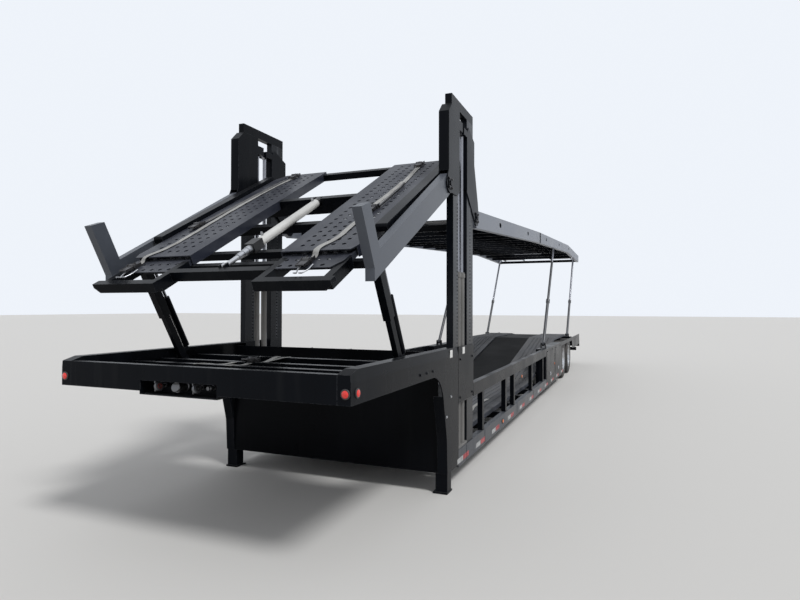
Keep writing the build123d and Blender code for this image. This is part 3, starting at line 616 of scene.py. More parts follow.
def painted(name, colour, gloss, wear, dust, shine=0.15):
    """Gloss paint on steel, with wear, dust and painted edge highlights."""
    settings = bpy.context.scene.trailer_paint
    tree, shader, place = new_material(name)
    effect = dress(tree, shader, "weathering_and_edge_highlight",
                   {"Colour": (*colour, 1), "Edge scuff and highlight colour": (*settings.edge_scuff_and_highlight_colour, 1),
                    "Edge wear and highlight": wear, "Dust colour": (*settings.dust_colour, 1), "Dust": dust,
                    "Gloss": gloss}, 0.0006)
    shader.inputs["Specular IOR Level"].default_value = shine
    return tree, shader, place, effect


def grained(name, colour, gloss, dirt, scale, metal=0.0, depth=0.0004):
    """Plastic, rubber or plain metal with a fine grain."""
    tree, shader, _ = new_material(name)
    dress(tree, shader, "grain",
          {"Colour": (*colour, 1), "Dirt colour": (0.12, 0.105, 0.09, 1), "Dirt": dirt,
           "Scale": scale, "Gloss": gloss}, depth)
    shader.inputs["Metallic"].default_value = metal
    return shader


def track_paint(colour):
    """Track paint, rubbed pale along the rack and the decks."""
    tree, _, place, effect = painted("track_paint", colour[:3], 0.36, 0.85, 0.20, 0.3)
    rubbed = remap(tree, noise(tree, place, 5.0, 5.0, (0.35, 1.6, 1)), 0.45, 0.75)
    give(tree, effect, {"Colour": blend(tree, times(tree, rubbed, 0.45), colour,
                                        (0.085, 0.09, 0.105, 1))})


def cylinder_paint():
    """White barrel between a black block and a bright gland, by the place along the rack."""
    white = (0.60, 0.60, 0.58)
    tree, shader, place, effect = painted("cylinder_paint", white, 0.30, 0.2, 0.3, 0.5)
    along = Vector((cos(RACK_SLOPE), 0, -sin(RACK_SLOPE)))
    u = reckon(tree, "SUBTRACT", dot(tree, place, along), along.dot(rack(0, 0, 0)), False)
    gland = remap(tree, u, 1.570, 1.572)
    black = times(tree, remap(tree, u, 1.428, 1.430), remap(tree, u, 1.572, 1.570))
    black = reckon(tree, "MAXIMUM", black, remap(tree, u, 0.380, 0.378))
    tone = blend(tree, gland, (*white, 1), (0.42, 0.43, 0.45, 1))
    give(tree, effect, {"Colour": blend(tree, black, tone, (0.012, 0.012, 0.013, 1))})
    give(tree, shader, {"Metallic": gland})


def lens_glass(name, colour):
    """Coloured lamp lens with a fine prism pattern."""
    tree, shader, place = new_material(name)
    cells = add(tree, "ShaderNodeTexVoronoi", {"Vector": place, "Scale": 260.0})
    prism = cells.outputs["Distance"]
    bright = tuple(min(1, 1.9 * c) for c in colour) + (1,)
    give(tree, shader, {
        "Base Color": blend(tree, remap(tree, prism, 0.0, 0.9), (*colour, 1), bright),
        "Normal": bump(tree, prism, 0.5, 0.0015), "Roughness": 0.16, "Coat Weight": 0.6})


def tape_film(name, colour):
    """Reflecting tape with a honeycomb of small cells, a little dirty."""
    tree, shader, place = new_material(name)
    cells = add(tree, "ShaderNodeTexVoronoi",
                {"Vector": place, "Scale": 190.0, "Randomness": 0.15},
                feature="DISTANCE_TO_EDGE")
    ridge = remap(tree, cells.outputs["Distance"], 0.02, 0.10)
    dirt = remap(tree, noise(tree, place, 22.0, 4.0), 0.42, 0.72, 0.0, 0.45)
    tone = blend(tree, ridge, tuple(0.72 * c for c in colour) + (1,), (*colour, 1))
    give(tree, shader, {"Base Color": blend(tree, dirt, tone, (0.11, 0.10, 0.09, 1)),
                        "Roughness": reckon(tree, "ADD", dirt, 0.25)})


def webbing(name, colour):
    """Woven polyester band."""
    tree, shader, place = new_material(name)
    threads = [add(tree, "ShaderNodeTexWave",
                   {"Vector": place, "Scale": scale, "Distortion": 0.6},
                   bands_direction=way).outputs["Fac"]
               for scale, way in ((95.0, "Y"), (130.0, "X"))]
    weave = times(tree, *threads)
    dirt = remap(tree, noise(tree, place, 7.0, 5.0), 0.40, 0.70, 0.0, 0.55)
    tone = blend(tree, weave, tuple(0.55 * c for c in colour) + (1,), (*colour, 1))
    give(tree, shader, {"Base Color": blend(tree, dirt, tone, (0.16, 0.15, 0.14, 1)),
                        "Normal": bump(tree, weave, 0.5, 0.0008), "Roughness": 0.8,
                        "Sheen Weight": 0.25})


class TRAILER_OT_finishes(Operator):
    """Materials of every piece, and those of the CAD nodes"""
    bl_idname = "trailer.finishes"
    bl_label = "Finishes"

    def execute(self, context):
        settings = context.scene.trailer_paint
        # wear sets the pale edges, partly scuffs and partly a painted edge highlight
        wear, dust = settings.edge_wear_and_highlight, settings.dust
        build_weathering_and_edge_highlight()
        build_grain()
        # Name, colour, gloss, amount of edge scuffs and painted edge highlight, dust and shine
        for values in (
                ("frame_paint", settings.frame_colour, 0.27, wear, dust, 0.06),
                ("barrel_paint", (0.135, 0.132, 0.128), 0.38, 0.5, 0.25, 0.35),
                ("strut_paint", (0.048, 0.051, 0.058), 0.30, wear, 0.2, 0.45),
                # Deck rails: pale blue-grey paint as a painted sky reflection on gloss black
                ("deck_rail_reflection_paint", (0.122, 0.134, 0.162), 0.34, wear, dust, 0.40),
                ("rail_paint", (0.031, 0.036, 0.046), 0.32, wear, 0.30, 0.3),
                # Centre panel: near-black as the painted shadow of the well between the tracks
                ("well_shadow_paint", (0.0022, 0.0024, 0.003), 0.60, 0.2, 0.05, 0.06),
                # Bulkhead: darker than the frame's black as painted shade
                ("bulkhead_shade_paint", (0.0022, 0.0026, 0.0036), 0.30, 0.3, 0.05, 0.05),
                # Arms: grey paint as a painted reflection of the sky on gloss black
                ("arm_reflection_paint", settings.arm_reflection_colour, 0.34, wear, dust, 0.40),
                ("floor_paint", (0.050, 0.055, 0.068), 0.45, 0.7, 0.75, 0.35)):
            painted(*values)
        track_paint((*settings.track_colour, 1))
        cylinder_paint()
        # Name, colour, gloss, dirt, scale of the grain, metal and depth of the grain
        for values in (
                ("machined_steel", (0.36, 0.36, 0.37), 0.36, 0.40, 140.0, 1.0),
                ("tyre_rubber", (0.017, 0.017, 0.018), 0.62, 0.45, 90.0, 0.0, 0.0012),
                ("zinc", (0.55, 0.56, 0.58), 0.32, 0.18, 220.0, 0.9),
                # Couplings' alloy: darkened partly by dust and partly as painted shade of the tray
                ("dusty_shaded_alloy", (0.16, 0.165, 0.175), 0.34, 0.45, 160.0, 0.9),
                ("ratchet_steel", (0.085, 0.085, 0.09), 0.34, 0.30, 260.0, 0.9),
                ("black_plastic", (0.014, 0.014, 0.015), 0.45, 0.20, 320.0),
                ("hose_rubber", (0.011, 0.011, 0.012), 0.42, 0.20, 420.0, 0.0, 0.0006),
                ("plate_white", (0.70, 0.70, 0.68), 0.38, 0.15, 90.0),
                ("seal_rubber", (0.10, 0.012, 0.010), 0.55, 0.15, 300.0)):
            grained(*values)
        rod = grained("chromed_rod", (0.30, 0.305, 0.33), 0.16, 0.20, 60.0, 1.0, 0.0001)
        rod.inputs["Specular Tint"].default_value = (0.60, 0.61, 0.66, 1)
        rim = grained("rim_metal", (0.66, 0.67, 0.69), 0.18, 0.28, 30.0, 1.0, 0.0002)
        rim.inputs["Anisotropic"].default_value = 0.3
        lens_glass("lens_red", (0.50, 0.012, 0.006))
        lens_glass("lens_amber", (0.80, 0.13, 0.012))
        tape_film("tape_red", (0.42, 0.018, 0.030))
        tape_film("tape_white", (0.42, 0.43, 0.43))
        webbing("webbing", context.scene.trailer_trim.strap_colour)
        webbing("dark_webbing", (0.030, 0.031, 0.036))
        for node, thing in frame["nodes"].items():
            finish = NODE_FINISH.get(node, SLOT_FINISH.get(SLOTS[node], "frame_paint"))
            for place in thing.material_slots:
                place.material = bpy.data.materials[finish]
        return {"FINISHED"}


# Pieces

def runs_on(edge, start, drop, pitch):
    """First and last place, normal and pitch of a column of holes on each straight stretch."""
    runs = []
    for (s0, z0), (s1, z1) in zip(edge, edge[1:]):
        places = [trailer(s, TRACK_MIDDLE, height_on(edge, s) - drop - SHEET / 2)
                  for s in (max(start, s0 + 0.05), s1 - 0.05)]
        runs.append((*places, Vector((z1 - z0, 0, s1 - s0)), pitch))
    return runs


class TRAILER_OT_tracks(Operator):
    """Tracks with rows of round holes, in place of the plain ones"""
    bl_idname = "trailer.tracks"
    bl_label = "Perforated tracks"

    def execute(self, context):
        settings = context.scene.trailer_tracks
        pitch, y = settings.pitch, TRACK_MIDDLE
        head = [(rack(1.67, y, 0.056), rack(-0.68, y, 0.056), RACK_UP, pitch)]
        lips = [(rack(1.965, 0.530, 0.016), rack(1.335, 0.530, 0.016), RACK_UP, 0.105)]
        deck = runs_on(DECK_EDGE, 3.44, DECK_TRACK_DROP, pitch)
        low = runs_on(LOW_EDGE, 2.16, 0, pitch)
        for node, body, finish, runs in (("head_tracks", "head_rack", "track_paint", head),
                                         ("extension_lips", "head_extension", "track_paint", lips),
                                         ("deck_tracks", "rear_deck", "track_paint", deck),
                                         ("low_tracks", "frame", "floor_paint", low)):
            track = merged_copy(node)
            pegs = []
            for first, last, upright, step in runs:
                pegs += row_of_pegs(first, last, step, settings.hole / 2, TRACK_PEG, upright,
                                    (0, settings.column_pitch, 0), settings.columns)
            pierce(track, join(pegs))
            settle(track, "perforated_" + node, finish, body)
            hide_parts(node)
        return {"FINISHED"}


class TRAILER_OT_posts(Operator):
    """Lift posts with the rows of lock holes down their outer and inner faces"""
    bl_idname = "trailer.posts"
    bl_label = "Lift posts"

    def execute(self, context):
        post = merged_copy("lift_posts")
        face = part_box("lift_posts")[1][1]
        pegs = []
        for station, low, high in LOCK_ROWS:
            for y in (face, face - POST_DEPTH):
                pegs += row_of_pegs(trailer(station, y, low), trailer(station, y, high), LOCK_PITCH,
                                    LOCK_RADIUS, 0.028, LEFT, sides=10)
        pierce(post, join(pegs))
        settings, paint = context.scene.trailer_paint, (0.0042, 0.0056, 0.0084)
        tree, _, place, effect = painted("post_paint", paint, 0.27, settings.edge_wear_and_highlight,
                                         settings.dust)
        spot = add(tree, "ShaderNodeSeparateXYZ", {0: place}).outputs
        strips = []
        for station, *_ in LOCK_ROWS:
            away = reckon(tree, "SUBTRACT", spot["X"], x_at(station), False)
            strips.append(remap(tree, reckon(tree, "ABSOLUTE", away), 0.017, 0.013))
        worn = times(tree, reckon(tree, "MAXIMUM", *strips),
                     remap(tree, noise(tree, place, 11.0, 4.0), 0.35, 0.65, 0.25, 0.85))
        worn = times(tree, worn, remap(tree, spot["Z"], 1.38, 1.42))
        give(tree, effect, {"Colour": blend(tree, worn, (*paint, 1), (0.075, 0.079, 0.088, 1))})
        settle(post, "lock_hole_posts", "post_paint")
        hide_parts("lift_posts")
        return {"FINISHED"}


def grooved_tyre(settings, place):
    """Tyre with grooves round its tread and notches along its shoulders."""
    wall = [(0.287, 0.105), (0.300, 0.1150), (0.335, 0.1235), (0.380, 0.1250),
            (0.420, 0.1210), (0.446, 0.1120), (0.459, 0.1060), (0.4655, 0.0990)]
    half, depth = settings.groove_width / 2, settings.groove_depth
    tread = []
    for groove in (0.060, 0.020, -0.020, -0.060):
        top = WHEEL_Z - 0.35 * groove * groove
        tread += [(top, groove + half), (top - depth, groove + 0.7 * half),
                  (top - depth, groove - 0.7 * half), (top, groove - half)]
    ring = wall + tread + [(r, -h) for r, h in reversed(wall)]
    steps = 88
    tyre = lathe(ring + ring[:1], (0, 0, 0), UP, steps)
    for corner in tyre.data.vertices:
        reach = hypot(corner.co.x, corner.co.y)
        turn = round(atan2(corner.co.y, corner.co.x) / (2 * pi) * steps)
        if turn % 2 and abs(corner.co.z) > 0.090 and reach > 0.450:
            corner.co.x *= (reach - 0.007) / reach
            corner.co.y *= (reach - 0.007) / reach
    tyre.data.transform(Matrix.Translation(place) @ facing(LEFT).to_matrix().to_4x4())
    return smooth(tyre, 40)


def wheel_nuts(settings, middle):
    """Ring of wheel nuts, each on a washer with its stud showing."""
    pieces = []
    for number in range(settings.nuts):
        angle = 2 * pi * (number + 0.5) / settings.nuts
        foot = middle + Vector((cos(angle) * settings.nut_circle, 0.014,
                                sin(angle) * settings.nut_circle))
        for rise, radius, depth, edge, sides in (
                (0, 0.021, 0.004, 0.001, 20), (0.004, 0.0185, 0.020, 0.002, 6),
                (0.024, 0.010, 0.014, 0.002, 12)):
            pieces.append(disc(foot + Vector((0, rise, 0)), LEFT, radius, depth, edge, sides))
    return join(pieces)


def hub_cap(middle):
    """Stepped hub cap."""
    return lathe([(0, 0.176), (0.030, 0.176), (0.036, 0.170), (0.040, 0.158), (0.074, 0.152),
                  (0.079, 0.146), (0.080, 0.112), (0.092, 0.110), (0.092, 0.100), (0, 0.100)],
                 middle, LEFT, 40)


class TRAILER_OT_wheels(Operator):
    """Twin tyres with grooved tread, wheel nuts and hub caps"""
    bl_idname = "trailer.wheels"
    bl_label = "Wheels"

    def execute(self, context):
        settings = context.scene.trailer_wheels
        for row, station in enumerate(AXLES, 1):
            middle = trailer(station, WHEEL_Y, WHEEL_Z)
            for side in ("left", "right"):
                tyres = join([grooved_tyre(settings, middle + Vector((0, offset, 0)))
                              for offset in (-TWIN_SPACING / 2, TWIN_SPACING / 2)])
                nuts = wheel_nuts(settings, middle)
                cap = hub_cap(middle)
                if side == "right":
                    for piece in (tyres, nuts, cap):
                        flip(piece)
                place = f"{row}_{side}"
                node, rim, body = f"tyres_{place}", f"rims_{place}", f"wheel_{place}"
                settle(tyres, f"grooved_{node}", "tyre_rubber", body)
                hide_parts(node)
                settle(nuts, f"wheel_nuts_{place}", "zinc", body)
                settle(cap, f"hub_cap_{place}", "rim_metal", body)
        return {"FINISHED"}


def lamps(name, places, radius, finish):
    """Lenses in black rings; a profile's radii are shares of the lamp's radius."""
    ring = ((0.80, 0.0), (1.12, 0.0), (1.12, 0.005), (0.98, 0.009), (0.80, 0.009), (0.80, 0.0))
    lens = ((0, 0.0), (0.82, 0.0), (0.82, 0.008), (0.70, 0.012), (0.35, 0.0145), (0, 0.015))
    for profile, label, look in ((ring, name + "_rings", "black_plastic"), (lens, name, finish)):
        pieces = [lathe([(radius * r, h) for r, h in profile], place, axis, 28)
                  for place, axis in places]
        settle(join(pieces), label, look)


class TRAILER_OT_lamps(Operator):
    """Marker lamps at the corners and along the side, and tail lamps"""
    bl_idname = "trailer.lamps"
    bl_label = "Lamps"

    def execute(self, context):
        radius = context.scene.trailer_trim.lamp / 2
        rear_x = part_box("tail_beam")[0][0]
        corners = [(Vector((FRONT_X, side * 1.256, 1.230)), FORWARD) for side in SIDES]
        corners += [(trailer(0.088, side * HALF_WIDTH, 1.228), (0, side, 0)) for side in SIDES]
        amber = [(trailer(s, side * HALF_WIDTH, z), (0, side, 0))
                 for s, z in ((4.46, 0.250), (5.86, 0.700), (9.86, 0.545)) for side in SIDES]
        tail = [(Vector((rear_x, side * y, 0.640)), (-1, 0, 0))
                for y in (1.13, 0.99, 0.85) for side in SIDES]
        centre = [(Vector((rear_x, y, 0.680)), (-1, 0, 0)) for y in (-0.16, 0.0, 0.16)]
        lamps("corner_lamps", corners, radius, "lens_red")
        lamps("side_lamps", amber, radius, "lens_amber")
        lamps("tail_lamps", tail, 0.055, "lens_red")
        lamps("centre_tail_lamps", centre, 0.026, "lens_red")
        return {"FINISHED"}


class TRAILER_OT_tape(Operator):
    """White and red reflecting tape along the low rails, the side boxes and the rear"""
    bl_idname = "trailer.tape"
    bl_label = "Reflecting tape"

    def execute(self, context):
        settings = context.scene.trailer_trim
        low, high = (TAPE_MIDDLE + side * settings.tape_height / 2 for side in (-1, 1))
        long = settings.tape_length
        bits = {"tape_white": [], "tape_red": []}
        starts = [2.335, 3.060, 3.840] + [4.810 + settings.tape_pitch * step for step in range(8)]
        for start in starts:
            for colour, near in (("tape_white", start), ("tape_red", start + long + 0.012)):
                for side in SIDES:
                    bits[colour].append(block((x_at(near + long), side * HALF_WIDTH, low),
                                              (x_at(near), side * (HALF_WIDTH + TAPE_SHEET), high),
                                              TAPE_EDGE, 1))
        rear_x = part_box("tail_beam")[0][0]
        guard_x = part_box("rear_guard")[0][0]
        for number in range(14):
            colour = ("tape_white", "tape_red")[number % 2]
            y = -1.155 + number * 0.165
            rows = [(guard_x, 0.455)]
            if 0.25 < abs(y + 0.08) < 0.74:
                rows.append((rear_x, 0.615))
            for x, z in rows:
                bits[colour].append(block((x - TAPE_SHEET, y + 0.004, z), (x, y + 0.161, z + 0.050),
                                          TAPE_EDGE, 1))
        for colour, pieces in bits.items():
            settle(join(pieces), "reflecting_" + colour, colour)
        return {"FINISHED"}


def strap(name, points, level, width, finish, at=rack, body="head_rack", held="stretched"):
    """Flat band through these points, at this level where a point has none of its own.

    On the rack it stretches where it crosses to the lip.
    """
    points = [(*point, level)[:3] for point in points]
    guide = bpy.data.objects.new(name, curve(name, points, 8))
    path = bpy.data.meshes.new_from_object(guide)
    middles = [corner.co.copy() for corner in path.vertices]
    bpy.data.objects.remove(guide, do_unlink=True)
    rows = []
    for number, middle in enumerate(middles):
        ahead = middles[min(number + 1, len(middles) - 1)] - middles[max(number - 1, 0)]
        across = UP.cross(ahead).normalized() * width / 2
        ripple = 0.0015 * sin(31.0 * middle.x) * sin(11.0 * middle.x + 1.0)
        rows.append([at(*(middle + across * share + UP * ripple * abs(share)))
                     for share in (-1.0, -0.5, 0.0, 0.5, 1.0)])
    faces = [(near, near + 1, near + 6, near + 5) for row in range(len(rows) - 1)
             for near in range(5 * row, 5 * row + 4)]
    band = new_piece(name, sum(rows, []), [], faces)
    edit(band, (bpy.ops.mesh.normals_make_consistent, {"inside": False}))
    modify(band, "SOLIDIFY", thickness=STRAP_SHEET, offset=0.0)
    smooth(band, 40)
    crosses = held == "stretched" and points[0][0] > 1.8
    settle(band, name, finish, None if crosses else body)
    if crosses:
        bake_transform(band)


def ratchets():
    """Ratchets at the ends of the straps, lying along the rack or level on the neck."""
    model = ratchet()
    for name, place, body in (
            ("right_front", rack(1.94, -0.935, 0.023), "head_extension"),
            ("left_front", rack(1.93, 0.748, 0.023), "head_extension"),
            ("right_rack", rack(1.03, -0.944, 0.063), "head_rack"),
            ("left_rack", rack(0.86, 0.846, 0.063), "head_rack"),
            ("right_top", rack(-0.62, -0.790, 0.063), "head_rack"),
            ("left_top", rack(-0.60, 0.800, 0.063), "head_rack"),
            ("neck", trailer(0.935, -0.155, 1.303), "frame")):
        piece = copy(model)
        slope = 0 if body == "frame" else RACK_SLOPE
        piece.data.transform(Matrix.Translation(place) @ Matrix.Rotation(slope, 4, "Y"))
        settle(piece, "ratchet_" + name, "ratchet_steel", body)
    bpy.data.objects.remove(model, do_unlink=True)


def ratchet():
    """Ratchet about its own middle: two cheeks, a spool with toothed wheels, a folded handle."""
    pieces = [block((0.020, -0.033, 0.026), (0.085, 0.033, 0.030), 0.0012, 1)]
    for side in SIDES:
        for start, end, near, low, high in ((-0.075, 0.055, 0.029, 0.000, 0.030),
                                            (-0.030, 0.105, 0.034, 0.012, 0.034)):
            pieces.append(block((start, side * near, low), (end, side * (near + 0.003), high),
                                0.0012, 1))
        pieces.append(disc((0, side * 0.0375, 0.022), (0, side, 0), 0.021, 0.004, 0.001, 14))
    for x, z, half, radius, edge, sides in (
            (0, 0.022, 0.040, 0.011, 0.001, 16), (0, 0.022, 0.026, 0.020, 0.003, 20),
            (0.098, 0.026, 0.037, 0.008, 0.001, 12), (-0.066, 0.012, 0.031, 0.006, 0.001, 12)):
        pieces.append(disc((x, -half, z), LEFT, radius, 2 * half, edge, sides))
    return join(pieces)


class TRAILER_OT_straps(Operator):
    """Tie-down straps on the head rack, the neck and the low deck, with ratchets and a winch bar"""
    bl_idname = "trailer.straps"
    bl_label = "Straps and ratchets"

    def execute(self, context):
        width = context.scene.trailer_trim.strap_width
        top, lip = 0.066, 0.026
        rack_lines = {
            "right_strap": [
                (1.97, -0.940, lip), (1.90, -0.940, lip), (1.82, -0.936, lip + 0.004),
                (1.795, -0.930), (1.74, -0.905, top + 0.003), (1.66, -0.862), (1.50, -0.836),
                (1.18, -0.843), (0.72, -0.869), (0.09, -0.872), (-0.40, -0.846), (-0.61, -0.773)],
            "right_outer_strap": [
                (1.00, -0.955), (0.60, -0.930), (0.10, -0.905, top + 0.004),
                (-0.47, -0.858, top + 0.006)],
            "left_strap": [
                (1.95, 0.738, lip), (1.88, 0.752, lip), (1.82, 0.758, lip + 0.004), (1.795, 0.760),
                (1.74, 0.756, top + 0.003), (1.66, 0.782), (1.55, 0.827), (1.26, 0.818),
                (0.90, 0.844), (0.27, 0.863), (-0.29, 0.820), (-0.59, 0.800)],
            "left_outer_strap": [
                (0.96, 0.806, top + 0.006), (0.88, 0.822, top + 0.024), (0.80, 0.812, top + 0.006),
                (0.60, 0.826, top + 0.005), (0.30, 0.838, top + 0.005), (0.05, 0.836, top + 0.005)],
        }
        neck_lines = {
            "neck_strap": [
                (0.58, -0.135), (0.70, -0.140, 1.300), (0.80, -0.145, 1.283),
                (0.935, -0.155, 1.303), (1.17, -0.185, 1.270), (1.40, -0.235), (1.48, -0.255)],
            "neck_outer_strap": [
                (0.59, -0.500), (0.70, -0.420, 1.300), (0.80, -0.365, 1.279),
                (0.935, -0.300, 1.303), (1.17, -0.235, 1.262), (1.40, -0.150), (1.48, -0.120)],
        }
        low_lines = {
            "low_left_strap": [(3.10, 0.870), (3.45, 0.930), (3.90, 0.800), (4.40, 0.880),
                               (4.95, 0.760), (5.60, 0.820)],
            "low_right_strap": [(3.20, -0.700), (3.90, -0.820), (4.60, -0.660), (5.40, -0.780),
                                (6.10, -0.700)],
        }
        for name, points in rack_lines.items():
            strap(name, points, top, width,
                  "dark_webbing" if name == "right_outer_strap" else "webbing")
        for lines, level, under in ((neck_lines, 1.3025, "neck_floor"),
                                    (low_lines, LOW_EDGE[0][1] + 0.0035, "perforated_low_tracks")):
            for name, points in lines.items():
                strap(name, points, level, width, "webbing", trailer, "frame", "laid")
        ratchets()
        bar = [rack(*place) for place in ((0.84, 0.892, 0.078), (0.30, 0.896, 0.078),
                                          (0.16, 0.884, 0.082))]
        settle(pipe(bar, 0.0105), "winch_bar", "ratchet_steel", "head_rack")
        hooks = []
        for middle in (-0.875, 0.785):
            for offset in (-0.045, 0.045):
                y, tip = middle + offset, middle + offset / 2
                hooks.append(pipe([rack(1.99, y, 0.036), rack(2.06, y, 0.030),
                                   rack(2.12, tip, 0.028), rack(2.155, tip, 0.045)], 0.0055))
        settle(join(hooks), "strap_hooks", "zinc", "head_extension")
        return {"FINISHED"}


def air_coupling(back, y, z):
    """Coupling head on a bent pipe, with its claw and guard, and apart from it its seal."""
    head, tilt = (back + 0.090, y + 0.016, z), (0.25, 1, 0.25)
    pieces = [disc((back, y, z), FORWARD, 0.019, 0.018, 0.002, 6),
              pipe([(back + 0.01, y, z), (back + 0.055, y, z), (back + 0.080, y + 0.012, z)],
                   0.013),
              lathe([(0.014, -0.012), (0.034, -0.012), (0.037, -0.006), (0.037, 0.006),
                     (0.033, 0.012), (0.020, 0.012), (0.018, 0.004), (0.014, 0.004),
                     (0.014, -0.012)], head, tilt, 32),
              block((back + 0.060, y - 0.004, z + 0.024), (back + 0.118, y + 0.006, z + 0.044)),
              block((back + 0.102, y + 0.004, z - 0.036), (back + 0.122, y + 0.012, z + 0.010))]
    ring = lathe([(0.010, 0.004), (0.020, 0.004), (0.020, 0.014), (0.010, 0.015),
                  (0.010, 0.004)], head, tilt, 28)
    return join(pieces), ring


def socket(back, y, z):
    """Round socket with its lid propped open on a hinge."""
    body = lathe([(0, 0), (0.040, 0), (0.040, 0.006), (0.033, 0.010), (0.033, 0.070),
                  (0.037, 0.072), (0.037, 0.088), (0.029, 0.088), (0.029, 0.040), (0, 0.040)],
                 (back, y, z), FORWARD, 36)
    lid = lathe([(0, 0), (0.037, 0), (0.039, 0.004), (0.036, 0.009), (0.016, 0.013), (0, 0.013)],
                (back + 0.095, y, z + 0.006), (1, 0, 0.30), 32)
    hinge = disc((back + 0.090, y - 0.020, z + 0.041), LEFT, 0.006, 0.040, 0.001, 12)
    lug = block((back + 0.072, y - 0.013, z + 0.030), (back + 0.098, y + 0.013, z + 0.040), 0.002)
    return join([body, lid, hinge, lug])


def nipple(back, y, z):
    """Hydraulic nipple on a hexagon."""
    return join([disc((back, y, z), FORWARD, 0.021, 0.016, 0.002, 6),
                 lathe([(0, 0.016), (0.015, 0.016), (0.015, 0.040), (0.019, 0.042),
                        (0.019, 0.058), (0.014, 0.062), (0.014, 0.074), (0, 0.074)],
                       (back, y, z), FORWARD, 24)])


class TRAILER_OT_couplings(Operator):
    """Air line couplings and the lighting socket in the tray of the neck's front"""
    bl_idname = "trailer.couplings"
    bl_label = "Couplings"

    def execute(self, context):
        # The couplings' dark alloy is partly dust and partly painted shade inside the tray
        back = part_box("header")[0][0] + 0.012
        for name, y, seal in (("air_coupling_right", -0.335, "seal_rubber"),
                              ("air_coupling_left", 0.020, "hose_rubber")):
            metal, ring = air_coupling(back, y, 1.192)
            settle(metal, name, "dusty_shaded_alloy")
            settle(ring, name + "_seal", seal)
        settle(socket(back, -0.150, 1.190), "lighting_socket", "dusty_shaded_alloy")
        settle(nipple(back, 0.120, 1.196), "hydraulic_coupling", "dusty_shaded_alloy")
        return {"FINISHED"}


def seams():
    """Sealed joint between gusset and post cover, and weld beads where rails are spliced."""
    low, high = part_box("post_covers")
    depths = (-0.001, 0.0025)
    seal = [side_plate((high[0] - 0.004, low[2]), (high[0] + 0.004, high[2]), depths, 0.001),
            side_plate((low[0] + 0.02, low[2] - 0.002), (high[0], low[2] + 0.004), depths,
                       0.001)]
    settle(both_sides(join(seal)), "cover_seals", "black_plastic")
    low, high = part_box("low_rails")
    beads = [disc((x_at(station), high[1], low[2] + 0.004), UP, 0.0035,
                  high[2] - low[2] - 0.008, 0.001, 12) for station in RAIL_SPLICES]
    settle(both_sides(join(beads)), "rail_welds", "rail_paint")
    face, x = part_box("deck_rails")[1][1], x_at(DECK_SPLICE)
    top = height_on(DECK_EDGE, DECK_SPLICE)
    joint = block((x - 0.006, face - 0.001, top - 0.198), (x + 0.006, face + 0.012, top - 0.002),
                  0.0020)
    settle(both_sides(joint), "deck_rail_joints", "black_plastic", "rear_deck")


class TRAILER_OT_side_trim(Operator):
    """Doors, latches and vents of the side boxes, blank plates, seals and weld beads"""
    bl_idname = "trailer.side_trim"
    bl_label = "Side trim"

    def execute(self, context):
        doors, latches = [], []
        for front, rear in SIDE_DOORS:
            doors.append(side_plate((x_at(rear), 0.315), (x_at(front), 0.880), (-0.001, 0.004)))
            for station in (front + 0.16, rear - 0.16):
                doors.append(disc((x_at(station) - 0.05, HALF_WIDTH + 0.004, 0.884), FORWARD,
                                  0.008, 0.10, 0.001, 12))
            middle = x_at((front + rear) / 2)
            for half, low, high, depths in ((0.055, 0.352, 0.422, (0.003, 0.008)),
                                            (0.040, 0.366, 0.398, (0.007, 0.014))):
                latches.append(side_plate((middle - half, low), (middle + half, high), depths,
                                          0.004))
        heights = [0.560 + 0.046 * row for row in range(5)]
        vents = [side_plate((x_at(9.945), z), (x_at(9.855), z + 0.020), (-0.001, 0.005), 0.004, 3)
                 for z in heights]
        for name, finish, pieces in (("doors", "frame_paint", doors), ("latches", "zinc", latches),
                                     ("vents", "black_plastic", vents)):
            settle(both_sides(join(pieces)), "box_" + name, finish)
        plates = [side_plate((x_at(station), low), (x_at(station - 0.080), high),
                             (-0.0004, 0.0016), 0.0006, 1)
                  for station, low, high in ((2.165, 1.292, 1.366), (2.600, 1.300, 1.370))]
        settle(join(plates), "blank_plates", "plate_white")
        seams()
        return {"FINISHED"}


class TRAILER_OT_fasteners(Operator):
    """Bolts of the gussets and covers, and keeper plates over the hinge pins"""
    bl_idname = "trailer.fasteners"
    bl_label = "Fasteners"

    def execute(self, context):
        bolt = join([disc((0, 0, 0), LEFT, 0.014, 0.002, 0.0006, 20),
                     disc((0, 0.002, 0), LEFT, 0.0115, 0.008, 0.0015, 6)])
        side_places = [(1.260, 1.215), (1.420, 1.215), (1.580, 1.215), (2.440, 0.860),
                       (2.900, 0.860), (2.440, 1.250), (2.900, 1.250)]
        for name, finish, places in (("gusset_bolts", "zinc", ((2.115, 0.914), (1.975, 0.742))),
                                     ("side_bolts", "frame_paint", side_places)):
            bolts = [copy(bolt, trailer(s, HALF_WIDTH - 0.0005, z)) for s, z in places]
            settle(both_sides(join(bolts)), name, finish)
        for name, node, body in (("front", "head_pins", "front_carriage"),
                                 ("rear", "deck_pins", "rear_carriage")):
            low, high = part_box(node)
            x, z = (low[0] + high[0]) / 2, (low[2] + high[2]) / 2
            plate = side_plate((x - 0.055, z - 0.055), (x + 0.055, z + 0.055), (0, 0.008))
            cap = lathe([(0, 0.008), (0.030, 0.008), (0.030, 0.014), (0.026, 0.018), (0, 0.018)],
                        (x, HALF_WIDTH, z), LEFT, 32)
            heads = [copy(bolt, (x + a, HALF_WIDTH + 0.008, z + b))
                     for a in (-0.040, 0.040) for b in (-0.040, 0.040)]
            settle(both_sides(join([plate, cap])), f"{name}_pin_keepers", "frame_paint", body)
            settle(both_sides(join(heads)), f"{name}_keeper_bolts", "ratchet_steel", body)
        bpy.data.objects.remove(bolt, do_unlink=True)
        return {"FINISHED"}


